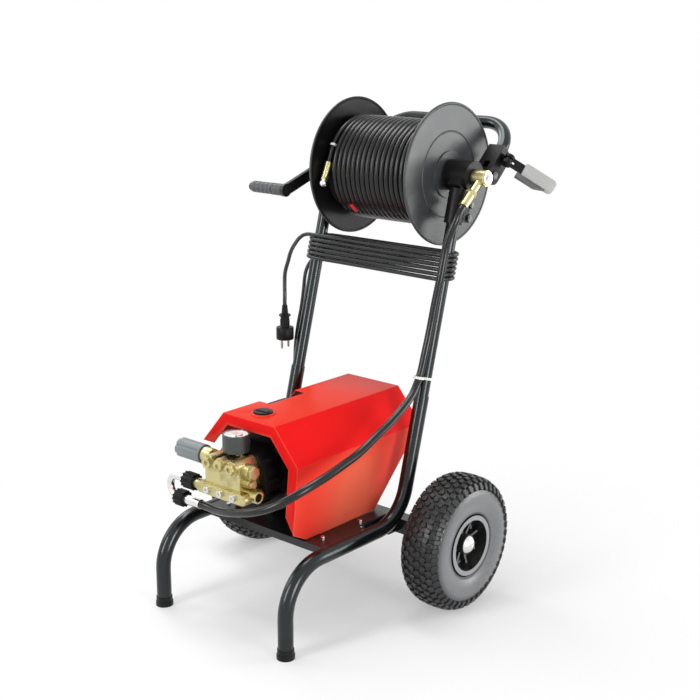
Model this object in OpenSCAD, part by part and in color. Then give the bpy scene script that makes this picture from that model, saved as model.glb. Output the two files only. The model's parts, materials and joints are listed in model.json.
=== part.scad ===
// Drain jetter: a tube cart on two pneumatic wheels that carries a motor pump
// under a folded sheet cover and, above it, a hose reel and a folding push handle.
// Millimetres. X points to the machine's right, Y to its back, Z up.
// The origin is on the ground at mid width and mid depth.

/* [Wheels] */
// Tyre diameter
wheel_d = 260; // [240:2:280]
// Tyre width
wheel_w = 85; // [78:1:92]
// Distance between the tyre centres
wheel_track = 508; // [500:2:530]
// Axle diameter
axle_d = 20; // [16:1:22]

/* [Side frame] */
// Distance between the centre lines of the side tubes
frame_w = 320; // [316:1:326]
// Outer diameter of the lower tubes
tube_d = 28; // [26:0.5:29]
// Wall of all tubes
tube_wall = 1.5; // [1.2:0.1:1.8]
// Height of the rails' centre line
rail_z = 160; // [154:1:166]
// Distance of the feet ahead of the axle
foot_ahead = 367; // [355:1:380]
// Bend radius between leg and rail
front_bend_r = 88; // [70:1:100]
// Bend radius between rail and upright
rear_bend_r = 85; // [75:1:95]
// Distance of the rear bend's start ahead of the axle
rear_bend_ahead = 118; // [112:1:124]
// Lean of the uprights from the vertical, in degrees
lean = 15; // [14:0.5:16]
// Height at which the uprights plug into the lower tubes
socket_z = 395; // [370:5:420]

/* [Reel] */
// Flange diameter
reel_d = 272; // [250:2:280]
// Width over the flanges
reel_w = 236; // [228:1:240]
// Distance of the reel's axis behind the axle
reel_behind = 136; // [132:1:140]
// Height of the reel's axis
reel_z = 797; // [790:1:806]
// Drum diameter
drum_d = 152; // [140:1:156]
// Diameter of the hose on the reel
reel_hose_d = 11.4; // [10:0.1:11.6]
// Turns in the outer layer
hose_turns = 17.4; // [12:0.1:17.4]
// Crank radius
crank_r = 136; // [110:1:140]

/* [Push handle] */
// Distance of the fold pivot behind the axle
pivot_behind = 200; // [194:1:206]
// Height of the fold pivot
pivot_z = 794; // [788:1:800]
// Rise of the handle's arms, in degrees
arm_rise = 43; // [38:1:48]
// Length of the arms from the pivot to the bend
arm_l = 62; // [58:1:80]
// Bend radius of the handle
handle_bend_r = 70; // [50:1:90]

/* [Platform and cover] */
// Thickness of the platform sheet
plate_t = 3; // [2:0.5:4]
// Height of the platform's top above the rails' centre line
plate_rise = 12; // [10:0.5:13]
// Width of the cover at its side folds
cover_w = 242; // [236:1:248]
// Width of the cover's flat top
cover_top_w = 130; // [110:1:140]
// Width of the cover at the platform
cover_foot_w = 216; // [208:1:224]
// Height of the cover above the platform
cover_h = 214; // [210:1:222]
// Height of the side folds above the platform
cover_fold_h = 149; // [140:1:156]
// Distance of the cover's front ahead of the axle
cover_ahead = 292; // [288:1:296]
// Distance of the cover's rear top edge behind the axle
cover_behind = 57; // [50:1:64]
// Sheet thickness of the cover
sheet_t = 2; // [1.5:0.5:2.5]

/* [Drive] */
// Height of the motor shaft above the platform
shaft_h = 113; // [110:1:116]
// Motor diameter over the cooling fins
motor_d = 160; // [150:1:166]
// Length of the finned motor housing
motor_l = 164; // [150:1:166]
// Pressure gauge diameter
gauge_d = 50; // [44:1:54]

/* [Cords] */
// Diameter of the feed hose
feed_hose_d = 15; // [13:0.5:15]
// Diameter of the mains cable
cable_d = 8; // [7:0.1:8]
// Whole loops of the cable on the uprights, before the last half loop
hank_loops = 5; // [3:1:5]

/* [Hidden] */
$fn = 48;

// Shared clearances
over = 1;
plug_fit = 0.05;
run_fit = 0.05;
free_gap = 0.5;

// Tubes and the frame's reference points
bend_swell = 0.1;
cap_wall = 2.5;
cap_floor = 4;
cap_h = 18;
upright_d = tube_d - 2 * tube_wall - 2 * plug_fit;
handle_back = pivot_behind + (arm_l + handle_bend_r) * cos(arm_rise) + upright_d / 2;
axle_y = (foot_ahead + tube_d / 2 + cap_wall - handle_back) / 2;
axle_z = wheel_d / 2;
foot_y = axle_y - foot_ahead;
leg_top = rail_z - front_bend_r;
bend_y = axle_y - rear_bend_ahead;
bend_end_y = bend_y + rear_bend_r * cos(lean);
bend_end_z = rail_z + rear_bend_r * (1 - sin(lean));
tube_x = frame_w / 2;
upright_plug = 60;
upright_top_z = 770;
reel_y = axle_y + reel_behind;
pivot_y = axle_y + pivot_behind;

// Platform
plate_top = rail_z + plate_rise;
plate_ahead = 264;
plate_end_ahead = 59;
plate_front = axle_y - plate_ahead;
plate_back = axle_y - plate_end_ahead;
plate_lip = 14;
plate_x = tube_x - tube_d / 4;
slot_x = 136;
slot_ahead = 145;
slot_l = slot_ahead - plate_end_ahead + over;

// Axle carrier
beam_s = 30;
beam_gap = 6.5;
beam_x = wheel_track / 2 - wheel_w / 2 - beam_gap;
arm_x = 120;
arm_t = 6;
arm_ahead = 110;
arm_low = 20;
arm_nose = 18;

// Wheel
rim_r = 54;
rim_wall = 5;
rim_lip_r = 58;
rim_lip_x = 31;
rim_lip_t = 6;
rim_disc_t = 6;
hub_r = 19;
hub_w = 60;
spoke_count = 9;
spoke_t = 5;
spoke_w = 30;
groove_depth = 4;
groove_w = 3.5;
groove_pitch = 13;
slot_count = 30;
cap_dome_r = 18;
cap_dome_h = 9;
cap_bore = 4;
collar_d = 30;
hub_end = wheel_track / 2 + hub_w / 2 + free_gap;
axle_end = hub_end + cap_bore;

// Reel
flange_t = 3;
flange_rim_r = 3;
flange_bead_r = 1.5;
flange_bead_share = 0.6;
hub_plate_r = 45;
hub_plate_t = 3;
tail_d = 12;
tail_l = 18;
tail_foot = 10;
reel_axle_d = 20;
stub_d = 14;
hub_boss_r = 22;
hub_boss_l = 9.5;
drum_wall = 3;
loop_rings = 24;
wound_sides = 6;
winding_r = 96;
turn_gap = 0.5;
hose_pitch = reel_hose_d + turn_gap;
layer_gap = 0.4;
core_r = winding_r * cos(180 / loop_rings) - reel_hose_d / 2 - layer_gap;
start_r = drum_d / 2 + reel_hose_d / 2 + layer_gap;
side_gap = 0.6;
winding_x = reel_w / 2 - flange_t - side_gap - reel_hose_d / 2;
end_step = 3;
end_angle = 165;

// Reel brackets
boss_r = 30;
boss_gap = 10;
boss_in = reel_w / 2 + boss_gap;
sleeve_wall = 5;
sleeve_low_z = 712;
sleeve_cap = 6;
bush_d = 27;
ear_r = 16;
ear_t = 12;
ear_neck = 26;
lobe_r = 9;
lobe_back = 28;
lobe_t = 26;
lobe_steps = [16, 42];
bolt_d = 8;
bolt_head_d = 14;
bolt_head_h = 5;
boss_face = 0.6;
boss_out = tube_x + upright_d / 2 + sleeve_wall + boss_face;

// Crank
crank_gap = 8;
crank_x = boss_out + crank_gap;
crank_t = 8;
crank_hub_r = 18;
crank_end_r = 13;
crank_bar = 22;
crank_turn = 199.4;
grip_d = 24;
grip_l = 84;
grip_pin_d = 10;
grip_cap_d = 17;
grip_cap_l = 4;
grip_groove = 1.5;
grip_grooves = 9;

// Swivel and its elbow
swivel_d = 30;
swivel_l = 27;
swivel_gap = 2;
swivel_cap_d = 22;
swivel_cap_l = 2;
swivel_x = boss_out + swivel_gap;
elbow_x = swivel_x + swivel_l / 2;
elbow_fall = 40;
elbow_d = 15;
elbow_l = 44;
ferrule_d = 18;
ferrule_l = 30;
collar_l = 6;

// Handle joint
knuckle_s = 36;
fork_depth = 20;
socket_start = 24;
pivot_d = 8;
pivot_head_d = 15;
pivot_head_t = 3;

// Clamp lever
eye_along = 40;
eye_out = 11;
eye_r = 7;
eye_t = 7;
eye_pin_d = 5;
cam_r = 10;
cam_w = 20;
lever_droop = 45;
lever_t = 7;
lever_w = 18;
lever_l = 92;
lever_grip_start = 34;
lever_grip_l = 62;
lever_grip_w = 28;
lever_grip_t = 15;

// Cover
cover_flange = 22;
cover_corner_h = 19;
cover_corner_l = 37;
cover_flange_end = 57;
cover_foot_ahead = 66;
cover_foot_flange = 18;
cover_notch_in = 38;
cover_notch_h = 34;
cover_side_cut_l = 66;
side_cut_in = 56;
side_cut_x = cover_foot_w / 2 - side_cut_in;
switch_x = -6;
switch_in = 44;
switch_ahead = cover_ahead - switch_in;
switch_y = axle_y - switch_ahead;
switch_d = 44;
switch_body_d = 28;
switch_body_h = 14;
switch_rim_h = 2;
knob_d = 36;
knob_h = 2.5;
knob_wing = 9;
knob_wing_h = 1.5;
knob_pin_d = 8;
knob_pin_l = 10;
screw_d = 5;
screw_head_d = 9;
screw_head_h = 3;
screw_x = 123;
screw_aheads = [229, 125];

// Motor and pump, along the shaft
shaft_z = plate_top + shaft_h;
motor_in = 228;
motor_ahead = cover_ahead - motor_in;
motor_back = axle_y - motor_ahead;
motor_front = motor_back - motor_l;
bell_t = 22;
bell_d = 168;
bell_front = motor_front - bell_t;
fin_count = 32;
fin_t = 3;
fin_h = 11;
stator_bore = 118;
motor_wall = 8;
air_gap = 0.75;
shaft_d = 24;
shaft_back = 52;
foot_x = 62;
foot_w = 34;
foot_l = 120;
foot_t = 12;
cowl_room = 8;
cowl_d = motor_d + cowl_room;
cowl_l = 72;
cowl_t = 2;
cowl_lap = 14;
cowl_ring_w = 5;
cowl_ring_pitch = 12;
cowl_spokes = 6;
fan_r = 68;
fan_hub_r = 22;
fan_l = 30;
fan_gap = 8;
fan_blades = 8;
fan_blade_t = 4;
fan_tip = 3;
crankcase_l = 63;
crankcase_d = 124;
crankcase_ribs = 10;
rib_t = 6;
rib_h = 7;
crankcase_top = 46;
crankcase_front = bell_front - crankcase_l;

// Pump head
head_l = 52;
head_front = crankcase_front - head_l;
head_w = 88;
head_low = 30;
head_high = 36;
head_adapter_d = 94;
head_adapter_t = 8;
sill_w = 108;
sill_h = 20;
sill_low = 30;
sill_l = 46;
chamber_d = 27;
chamber_pitch = 29;
chamber_rise = 33;
plug_af = 22;
plug_l = 7;
plug_socket = 9;
side_port_d = 28;
side_port_l = 12;
side_port_rise = 26;
side_port_back = 26;
low_port_d = 18;
low_port_l = 10;
low_port_rise = 4.5;
low_port_back = 18;
inlet_d = 22;
inlet_bore = 16;
inlet_out = 28;
inlet_depth = 40;
inlet_drop = 17;
inlet_back = 16;
outlet_d = 20;
outlet_back = 13;
outlet_drop = 21;
outlet_y = head_front + outlet_back;
outlet_z = shaft_z - outlet_drop;
outlet_out = 22;
cap_screw_d = 13;
cap_screw_l = 5;
cap_screw_socket = 6;
cap_screw_pitch = 33;

// Unloader valve and its knob
unloader_rise = 32;
unloader_back = 25;
unloader_d = 30;
unloader_l = 22;
knob_spindle_d = 10;
knob_spindle_l = 14;
regulator_d = 36;
regulator_l = 62;
regulator_lobes = 6;
regulator_flute_r = 4;
regulator_gap = 1;

// Gauge
gauge_h = 32;
gauge_wall = 3;
gauge_floor = 22;
gauge_stem_d = 12;
gauge_boss_d = 18;
gauge_boss_gap = 3.5;
gauge_back = 42;
gauge_rise = 51;
gauge_y = head_front + gauge_back;
gauge_z = shaft_z + gauge_rise;
lens_t = 2;
needle_l = 17;
needle_w = 1.6;
needle_t = 1;
needle_hub_d = 5;
needle_pin_d = 2;
needle_lift = 1.5;

// Outlet coupling
nut_d = 28;
nut_l = 28;
hose_nut_l = 22;
nut_ribs = 12;
nut_rib_r = 2;
uturn_d = 14;
uturn_x = 128;
uturn_fall = 40;
hose_end_z = outlet_z - uturn_fall;
hose_end_x = -66;
sleeve_d = 18;
sleeve_l = 40;

// Terminal box and gland
box_side = 31;
box_low_x = box_side - cover_w / 2;
box_w = 46;
box_h = 36;
box_rise = 81;
box_top = shaft_z + box_rise;
box_in = 40;
box_back = motor_back - box_in;
box_l = 90;
notch_gap = 4;
gland_behind = 18;
gland_z = 305;
gland_shank_d = 16;
gland_d = 22;
gland_in_x = -112;
gland_face_x = -121.4;
gland_nut_x = -127;
gland_tip_x = -134;

// Cable on the uprights
hank_r = 24.5;
hank_gap = 0.55;
hank_low_z = 610;
hank_pitch = 8.75;
hank_x = tube_x + upright_d / 2 + hank_gap + cable_d / 2 - hank_r;
plug_d = 36;
plug_body_l = 26;
plug_neck_d = 18;
plug_neck_l = 22;
plug_ring_d = 24;
plug_ring_l = 4;
plug_relief_d = 13;
plug_relief_l = 20;
pin_d = 4.8;
pin_l = 19;
pin_gap = 19;

// Hose tie
tie_z = 425;
tie_h = 5;
tie_t = 1.6;
tie_side = 3;
tie_back = 24;
tie_room = 1.5;

// Route of the feed hose from the swivel down the upright and round to the pump
feed_route = [
    [192, 98, 726], [187, 93, 709], [181, 89, 688], [177, 86, 662], [176, 79, 630], [170, 70, 575],
    [166, 60, 520], [164.5, 46.5, 472], [163.5, 39.5, 447], [163.5, 33, 433], [164, 26, 423],
    [165.5, 17.5, 414], [168, 4, 404],
    [171, -24, 389], [173, -62, 371], [174, -108, 353], [174.5, -152, 335.5], [174.5, -194.5, 325],
    [174, -235.5, 315.5], [170, -266, 307.5], [162.5, -291, 298.5], [150.5, -310, 287.5],
    [129.5, -327, 273.5], [100, -336, 260.5], [60, -335.5, 246.5], [14.5, -329, 234], [-24, -319, 226]
];
// Route of the mains cable from the gland up to the winding on the uprights
lead_route = [
    [-156, 55, 308], [-167, 55.5, 315], [-176, 56, 328], [-180, 57, 343], [-180, 58, 372], [-181, 60, 405],
    [-182, 64, 440], [-183.5, 72, 471], [-187, 87, 510], [-194.5, 102, 544.5], [-201, 112, 563],
    [-202, 117.5, 577], [-199, 123, 590], [-191, 127, 601.5], [-180, 129, 608]
];
// Route of the cable's free end from the winding to the plug
tail_route = [
    [-182, 92, 657.5], [-193, 88.5, 650], [-199, 83.5, 640], [-203, 73, 622.5], [-202, 64, 605],
    [-199.5, 52, 583], [-194, 44.5, 562], [-189.5, 40, 539]
];
plug_top = [-189, 39, 520];

function upright_y(z) = bend_end_y + (z - bend_end_z) * tan(lean);
function unit(v) = v / norm(v);
function ease(t) = (1 - cos(180 * min(1, max(0, t)))) / 2;

// Outline of the cover's cross section, drawn in by d all round
function section_line() = [
    [cover_foot_w / 2, plate_top], [cover_w / 2, plate_top + cover_fold_h],
    [cover_top_w / 2, plate_top + cover_h]
];
function turn_left(v) = [-v[1], v[0]];
function mitre(a, b, c, d) =
    let (n = turn_left(unit(b - a)), m = turn_left(unit(c - b))) b + d * (n + m) / (1 + n * m);
function half_section(d) =
    let (s = section_line(), top = [-s[2][0], s[2][1]])
    [s[0] + d * turn_left(unit(s[1] - s[0])), mitre(s[0], s[1], s[2], d), mitre(s[1], s[2], top, d)];
function cover_section(d) =
    let (h = half_section(d)) [h[0], h[1], h[2], for (i = [2:-1:0]) [-h[i][0], h[i][1]]];

// Centre line of the reel's winding, turn by turn
function winding_at(u) =
    let (
        a = end_angle - 360 * (hose_turns - u),
        r = start_r + (winding_r - start_r) * ease(2 * u),
        x = winding_x - hose_pitch * u - end_step * ease(2 * (u - hose_turns) + 1)
    )
    [x, reel_y + r * cos(a), reel_z + r * sin(a)];
hose_start_angle = end_angle - 360 * hose_turns;
tail_turn = atan((reel_hose_d + tail_l / 2) / start_r);
function winding_line() =
    let (
        n = floor(hose_turns * loop_rings),
        body = [for (i = [0:n]) winding_at(hose_turns * i / n)],
        first = unit(body[0] - body[1]),
        last = unit(body[n] - body[n - 1])
    )
    concat([body[0] + reel_hose_d * first], body, [body[n] + reel_hose_d * last]);

// Centre line of the cable round both uprights; one loop has 24 rings
function hank_arc(a) = hank_r * [cos(a), sin(a)];
function hank_flat(i) =
    let (run = hank_x / 2, turn = 180 / 8)
    i < 4 ? [run * i - hank_x, hank_r]
    : i < 12 ? [hank_x, 0] + hank_arc(90 - turn * (i - 4))
    : i < 16 ? [hank_x - run * (i - 12), -hank_r]
    : [-hank_x, 0] + hank_arc(270 - turn * (i - 16));
function hank_at(k) =
    let (z = hank_low_z + hank_pitch * k / loop_rings, p = hank_flat(k % loop_rings))
    [p[0], upright_y(z) + p[1], z];
hank_end = hank_loops * loop_rings + 16;
function hank_line() =
    let (body = [for (k = [0:hank_end]) hank_at(k)])
    concat([body[0] - [cable_d, 0, 0]], body, [body[hank_end] - [cable_d, 0, 0]]);

// Least gap between turns that lie at least half a loop apart on one centre line
function least_gap(line, d) =
    let (n = len(line) - 1, half = loop_rings / 2)
    min([for (i = [0:2:n - half], j = [i + half:n]) norm(line[i] - line[j])]) - d;

// Tube of n flat sides swept along a line of points; ref is never parallel to the line
function ring_at(line, i, r, n, ref) =
    let (
        a = line[max(0, i - 1)],
        b = line[min(len(line) - 1, i + 1)],
        t = unit(b - a),
        u = unit(cross(t, ref)),
        v = cross(t, u)
    )
    [for (k = [0:n - 1]) line[i] + r * (cos(360 * k / n) * u + sin(360 * k / n) * v)];
module swept_tube(line, d, n, ref) {
    count = len(line);
    points = [for (i = [0:count - 1]) each ring_at(line, i, d / 2, n, ref)];
    sides = [
        for (i = [0:count - 2], k = [0:n - 1])
            let (a = i * n + k, b = i * n + (k + 1) % n) each [[a, b, b + n], [a, b + n, a + n]]
    ];
    first = [for (k = [1:n - 2]) [0, k + 1, k]];
    last = [for (k = [1:n - 2]) (count - 1) * n * [1, 1, 1] + [0, k, k + 1]];
    polyhedron(points = points, faces = concat(sides, first, last), convexity = 10);
}

// Round bar from x = a to x = b
module x_bar(a, b, d, n = $fn) {
    translate([a, 0, 0]) rotate([0, 90, 0]) cylinder(d = d, h = b - a, $fn = n);
}
// Round bar from y = a to y = b
module y_bar(a, b, d, n = $fn) {
    translate([0, a, 0]) rotate([-90, 0, 0]) cylinder(d = d, h = b - a, $fn = n);
}
// Outline drawn in (y, z), from x = a to x = b
module side_plate(a, b) {
    translate([a, 0, 0]) rotate([90, 0, 90]) linear_extrude(height = b - a) children();
}
// Outline drawn in (x, z), from y = a to y = b
module front_plate(a, b) {
    translate([0, b, 0]) rotate([90, 0, 0]) linear_extrude(height = b - a) children();
}
// Profile drawn as (x along the axis, radius), turned about the X axis
module x_turned() {
    rotate([0, 90, 0]) rotate_extrude() rotate(90) mirror([0, 1]) children();
}
// Straight strip of width w between two points
module strip(p, q, w) {
    translate(p) rotate(atan2(q[1] - p[1], q[0] - p[0])) translate([0, -w / 2]) square([norm(q - p), w]);
}
module both_sides() {
    children();
    mirror([1, 0, 0]) children();
}
// Frame on the upright's centre line at height z, with its own z axis along the tube
module on_upright(z) {
    translate([tube_x, upright_y(z), z]) rotate([-lean, 0, 0]) children();
}
// Frame at the fold pivot, with y along the handle's arms
module on_arm() {
    translate([0, pivot_y, pivot_z]) rotate([arm_rise, 0, 0]) children();
}
module at_reel() {
    translate([0, reel_y, reel_z]) children();
}
module at_shaft() {
    translate([0, 0, shaft_z]) children();
}

// Side tubes: leg, front bend, rail, rear bend and the socket for the upright
module pipe(d, h) {
    difference() {
        cylinder(d = d, h = h);
        translate([0, 0, -over]) cylinder(d = d - 2 * tube_wall, h = h + 2 * over);
    }
}
module pipe_bend(y, z, r, d, start, sweep) {
    translate([0, y, z]) rotate([90, 0, 90]) rotate([0, 0, start])
        rotate_extrude(angle = sweep) translate([r, 0]) difference() {
            circle(d = d + bend_swell);
            circle(d = d - 2 * tube_wall - bend_swell);
        }
}
module side_tube() {
    straight = (socket_z - bend_end_z) / cos(lean);
    color("#17181a") translate([tube_x, 0, 0]) {
        translate([0, foot_y, cap_floor]) pipe(tube_d, leg_top - cap_floor);
        pipe_bend(foot_y + front_bend_r, leg_top, front_bend_r, tube_d, 90, 90);
        translate([0, bend_y, rail_z]) rotate([90, 0, 0]) pipe(tube_d, bend_y - foot_y - front_bend_r);
        pipe_bend(bend_y, rail_z + rear_bend_r, rear_bend_r, tube_d, -90, 90 - lean);
        translate([0, bend_end_y, bend_end_z]) rotate([-lean, 0, 0]) pipe(tube_d, straight);
    }
}
module right_side_tube() side_tube();
module left_side_tube() mirror([1, 0, 0]) side_tube();

module upright() {
    length = upright_plug + (upright_top_z - socket_z) / cos(lean);
    color("#17181a") on_upright(socket_z) translate([0, 0, -upright_plug]) difference() {
        cylinder(d = upright_d, h = length);
        translate([0, 0, -over]) cylinder(d = upright_d - 2 * tube_wall, h = length + 2 * over);
    }
}
module right_upright() upright();
module left_upright() mirror([1, 0, 0]) upright();

// Rubber caps on the legs
module foot_caps() {
    color("#101112") both_sides() translate([tube_x, foot_y, 0]) difference() {
        union() {
            cylinder(d = tube_d + 2 * cap_wall, h = cap_floor * 2);
            cylinder(d = tube_d + cap_wall, h = cap_h);
        }
        translate([0, 0, cap_floor]) cylinder(d = tube_d, h = cap_h);
    }
}

// Tray between the rails, with its front edge bent down
module platform() {
    depth = plate_back - plate_front;
    color("#1c1d1f") difference() {
        translate([-plate_x, plate_front, plate_top - plate_lip]) cube([2 * plate_x, depth, plate_lip]);
        translate([-plate_x - over, plate_front + plate_t, plate_top - plate_lip - over])
            cube([2 * (plate_x + over), depth, plate_lip - plate_t + over]);
        both_sides() {
            translate([tube_x, 0, rail_z]) y_bar(plate_front - over, plate_back + over, tube_d);
            translate([slot_x, axle_y - slot_ahead, plate_top - plate_lip])
                cube([plate_x, slot_l, plate_lip + over]);
            for (a = screw_aheads) translate([screw_x, axle_y - a, plate_top - plate_lip])
                cylinder(d = screw_d, h = plate_lip + over);
        }
    }
}

module panel_screws() {
    color("#c9ccce") both_sides() for (a = screw_aheads) translate([screw_x, axle_y - a, plate_top]) {
        cylinder(d = screw_head_d, h = screw_head_h, $fn = 6);
        translate([0, 0, -2 * plate_t]) cylinder(d = screw_d, h = 2 * plate_t);
    }
}

// Square cross tube round the axle, on two arms under the platform
module axle_carrier() {
    hole = axle_d + 2 * run_fit;
    color("#141516") {
        difference() {
            translate([-beam_x, axle_y - beam_s / 2, axle_z - beam_s / 2]) cube([2 * beam_x, beam_s, beam_s]);
            translate([-beam_x - over, axle_y - hole / 2, axle_z - hole / 2])
                cube([2 * (beam_x + over), hole, hole]);
        }
        both_sides() side_plate(arm_x - arm_t, arm_x) polygon([
            [axle_y - arm_ahead, plate_top - plate_t], [plate_back, plate_top - plate_t],
            [axle_y - beam_s / 2, axle_z + beam_s / 2], [axle_y - beam_s / 2, axle_z - beam_s / 2],
            [axle_y - beam_s / 2 - arm_low, axle_z - beam_s / 2],
            [axle_y - arm_ahead, plate_top - plate_t - arm_nose]
        ]);
    }
}

module axle() {
    color("#8d9093") translate([0, axle_y, axle_z]) {
        x_bar(-axle_end, axle_end, axle_d);
        both_sides() x_bar(beam_x, wheel_track / 2 - hub_w / 2 - free_gap, collar_d);
    }
}

// Domed caps pressed on the axle's ends
module hub_caps() {
    dome_r = (cap_dome_r * cap_dome_r + cap_dome_h * cap_dome_h) / (2 * cap_dome_h);
    color("#d3d6d8") both_sides() translate([hub_end, axle_y, axle_z]) difference() {
        x_turned() intersection() {
            translate([cap_dome_h - dome_r, 0]) circle(r = dome_r);
            square([cap_dome_h, cap_dome_r]);
        }
        x_bar(-over, cap_bore, axle_d);
    }
}

// Pneumatic tyre with circular grooves and cross slots between the tread blocks
module tyre() {
    section_r = wheel_w / 2;
    centre_r = wheel_d / 2 - section_r;
    color("#1a1b1c") translate([wheel_track / 2, axle_y, axle_z]) difference() {
        x_turned() difference() {
            translate([0, centre_r]) circle(d = wheel_w);
            translate([-wheel_w, 0]) square([2 * wheel_w, rim_r]);
            for (i = [-1.5:1:1.5]) let (x = i * groove_pitch)
                translate([x - groove_w / 2, centre_r + sqrt(section_r * section_r - x * x) - groove_depth])
                    square([groove_w, wheel_d]);
        }
        for (i = [0:slot_count - 1]) rotate([360 * i / slot_count, 0, 0])
            translate([-wheel_w / 2, -groove_w / 2, wheel_d / 2 - groove_depth])
                cube([wheel_w, groove_w, wheel_d]);
    }
}
module right_tyre() tyre();
module left_tyre() mirror([1, 0, 0]) tyre();

// Moulded rim: bead seat, two lips, spokes on a thin disc and a plain bearing hub
module rim() {
    color("#232527") translate([wheel_track / 2, axle_y, axle_z]) difference() {
        union() {
            x_turned() {
                translate([-rim_lip_x, rim_r - rim_wall]) square([2 * rim_lip_x, rim_wall]);
                for (x = [-rim_lip_x - rim_lip_t, rim_lip_x]) translate([x, rim_r - rim_wall])
                    square([rim_lip_t, rim_lip_r - rim_r + rim_wall]);
                translate([-hub_w / 2, 0]) square([hub_w, hub_r]);
                translate([-rim_disc_t / 2, 0]) square([rim_disc_t, rim_r - rim_wall / 2]);
            }
            for (i = [0:spoke_count - 1]) rotate([360 * i / spoke_count, 0, 0])
                translate([-spoke_w / 2, -spoke_t / 2, hub_r / 2])
                    cube([spoke_w, spoke_t, rim_r - rim_wall / 2 - hub_r / 2]);
        }
        x_bar(-hub_w, hub_w, axle_d + 2 * run_fit);
    }
}
module right_rim() rim();
module left_rim() mirror([1, 0, 0]) rim();

// Casting on top of an upright: clamp sleeve, reel boss and the ear of the handle
module reel_bracket() {
    sleeve_l = (upright_top_z - sleeve_low_z) / cos(lean);
    sleeve_top_d = upright_d + 2 * sleeve_wall;
    color("#151617") difference() {
        union() {
            on_upright(sleeve_low_z) {
                cylinder(d = sleeve_top_d, h = sleeve_l + sleeve_cap);
                for (s = lobe_steps) translate([0, lobe_back, s]) x_bar(-lobe_t / 2, lobe_t / 2, 2 * lobe_r);
                translate([-lobe_t / 2, 0, lobe_steps[0] - lobe_r])
                    cube([lobe_t, lobe_back, lobe_steps[1] - lobe_steps[0] + 2 * lobe_r]);
            }
            at_reel() x_bar(boss_in, boss_out, 2 * boss_r);
            side_plate(tube_x - lobe_t / 2, tube_x + lobe_t / 2)
                strip([upright_y(upright_top_z), upright_top_z], [reel_y, reel_z], 2 * boss_r - ear_t);
            side_plate(tube_x - ear_t / 2, tube_x + ear_t / 2) {
                strip([reel_y, reel_z], [pivot_y, pivot_z], ear_neck);
                translate([pivot_y, pivot_z]) circle(r = ear_r);
            }
        }
        on_upright(sleeve_low_z) {
            translate([0, 0, -over]) cylinder(d = upright_d + 2 * plug_fit, h = sleeve_l + over);
            for (s = lobe_steps) translate([0, lobe_back, s]) x_bar(-lobe_t, lobe_t, bolt_d + 2 * plug_fit);
        }
        at_reel() x_bar(boss_in - over, boss_out + over, bush_d);
        translate([0, pivot_y, pivot_z]) x_bar(tube_x - ear_t, tube_x + ear_t, pivot_d + 2 * run_fit);
    }
}
module right_reel_bracket() reel_bracket();
module left_reel_bracket() mirror([1, 0, 0]) reel_bracket();

// Bolts that clamp the brackets on the uprights
module bracket_bolts() {
    color("#c4c7ca") both_sides() on_upright(sleeve_low_z) for (s = lobe_steps) translate([0, lobe_back, s]) {
        x_bar(-lobe_t / 2 - bolt_head_h, lobe_t / 2 + bolt_head_h, bolt_d);
        x_bar(-lobe_t / 2 - bolt_head_h, -lobe_t / 2, bolt_head_d, 6);
        x_bar(lobe_t / 2, lobe_t / 2 + bolt_head_h - over, bolt_head_d, 6);
    }
}

module reel_bushes() {
    color("#e2dfd6") both_sides() at_reel() difference() {
        x_bar(boss_in, boss_out, bush_d);
        x_bar(boss_in - over, boss_out + over, reel_axle_d + 2 * run_fit);
    }
}

// Rotary joint that feeds the reel through its axle
module swivel_body() {
    color("#c9ad52") at_reel() difference() {
        union() {
            x_bar(swivel_x, swivel_x + swivel_l, swivel_d);
            x_bar(swivel_x + swivel_l, swivel_x + swivel_l + swivel_cap_l, swivel_cap_d);
        }
        x_bar(swivel_x - over, swivel_x + swivel_l - swivel_cap_l, stub_d + 2 * run_fit);
        translate([elbow_x, 0, 0]) rotate([180 + elbow_fall, 0, 0])
            y_bar(stub_d / 2, swivel_d, elbow_d);
    }
}

// Elbow of the swivel with the ferrule of the feed hose
module swivel_elbow() {
    color("#c9ad52") at_reel() translate([elbow_x, 0, 0]) rotate([180 + elbow_fall, 0, 0]) {
        y_bar(stub_d / 2 + over, elbow_l, elbow_d);
        y_bar(elbow_l - collar_l, elbow_l, plug_af, 6);
        y_bar(elbow_l, elbow_l + ferrule_l, ferrule_d);
    }
}
elbow_reach = elbow_l + ferrule_l;
feed_start = [elbow_x, reel_y - elbow_reach * cos(elbow_fall), reel_z - elbow_reach * sin(elbow_fall)];
feed_end = [hose_end_x, outlet_y, hose_end_z];

module feed_hose() {
    start_way = feed_hose_d * [0, -cos(elbow_fall), -sin(elbow_fall)];
    ends_way = [feed_hose_d, 0, 0];
    line = concat([feed_start, feed_start + start_way], feed_route, [feed_end + ends_way, feed_end]);
    color("#1d1f20") swept_tube(line, feed_hose_d, 10, [1, -1, 0.3]);
}

// Cable tie that holds the feed hose to the upright
module hose_tie() {
    color("#eceae4") on_upright(tie_z) difference() {
        union() {
            cylinder(d = upright_d + 2 * tie_t + 2 * plug_fit, h = tie_h);
            translate([tie_side, -tie_back, 0]) cylinder(d = feed_hose_d + 2 * (tie_t + tie_room), h = tie_h);
        }
        translate([0, 0, -over]) cylinder(d = upright_d + 2 * plug_fit, h = tie_h + 2 * over);
        translate([tie_side, -tie_back, -over])
            cylinder(d = feed_hose_d + 2 * tie_room, h = tie_h + 2 * over);
    }
}

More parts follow.
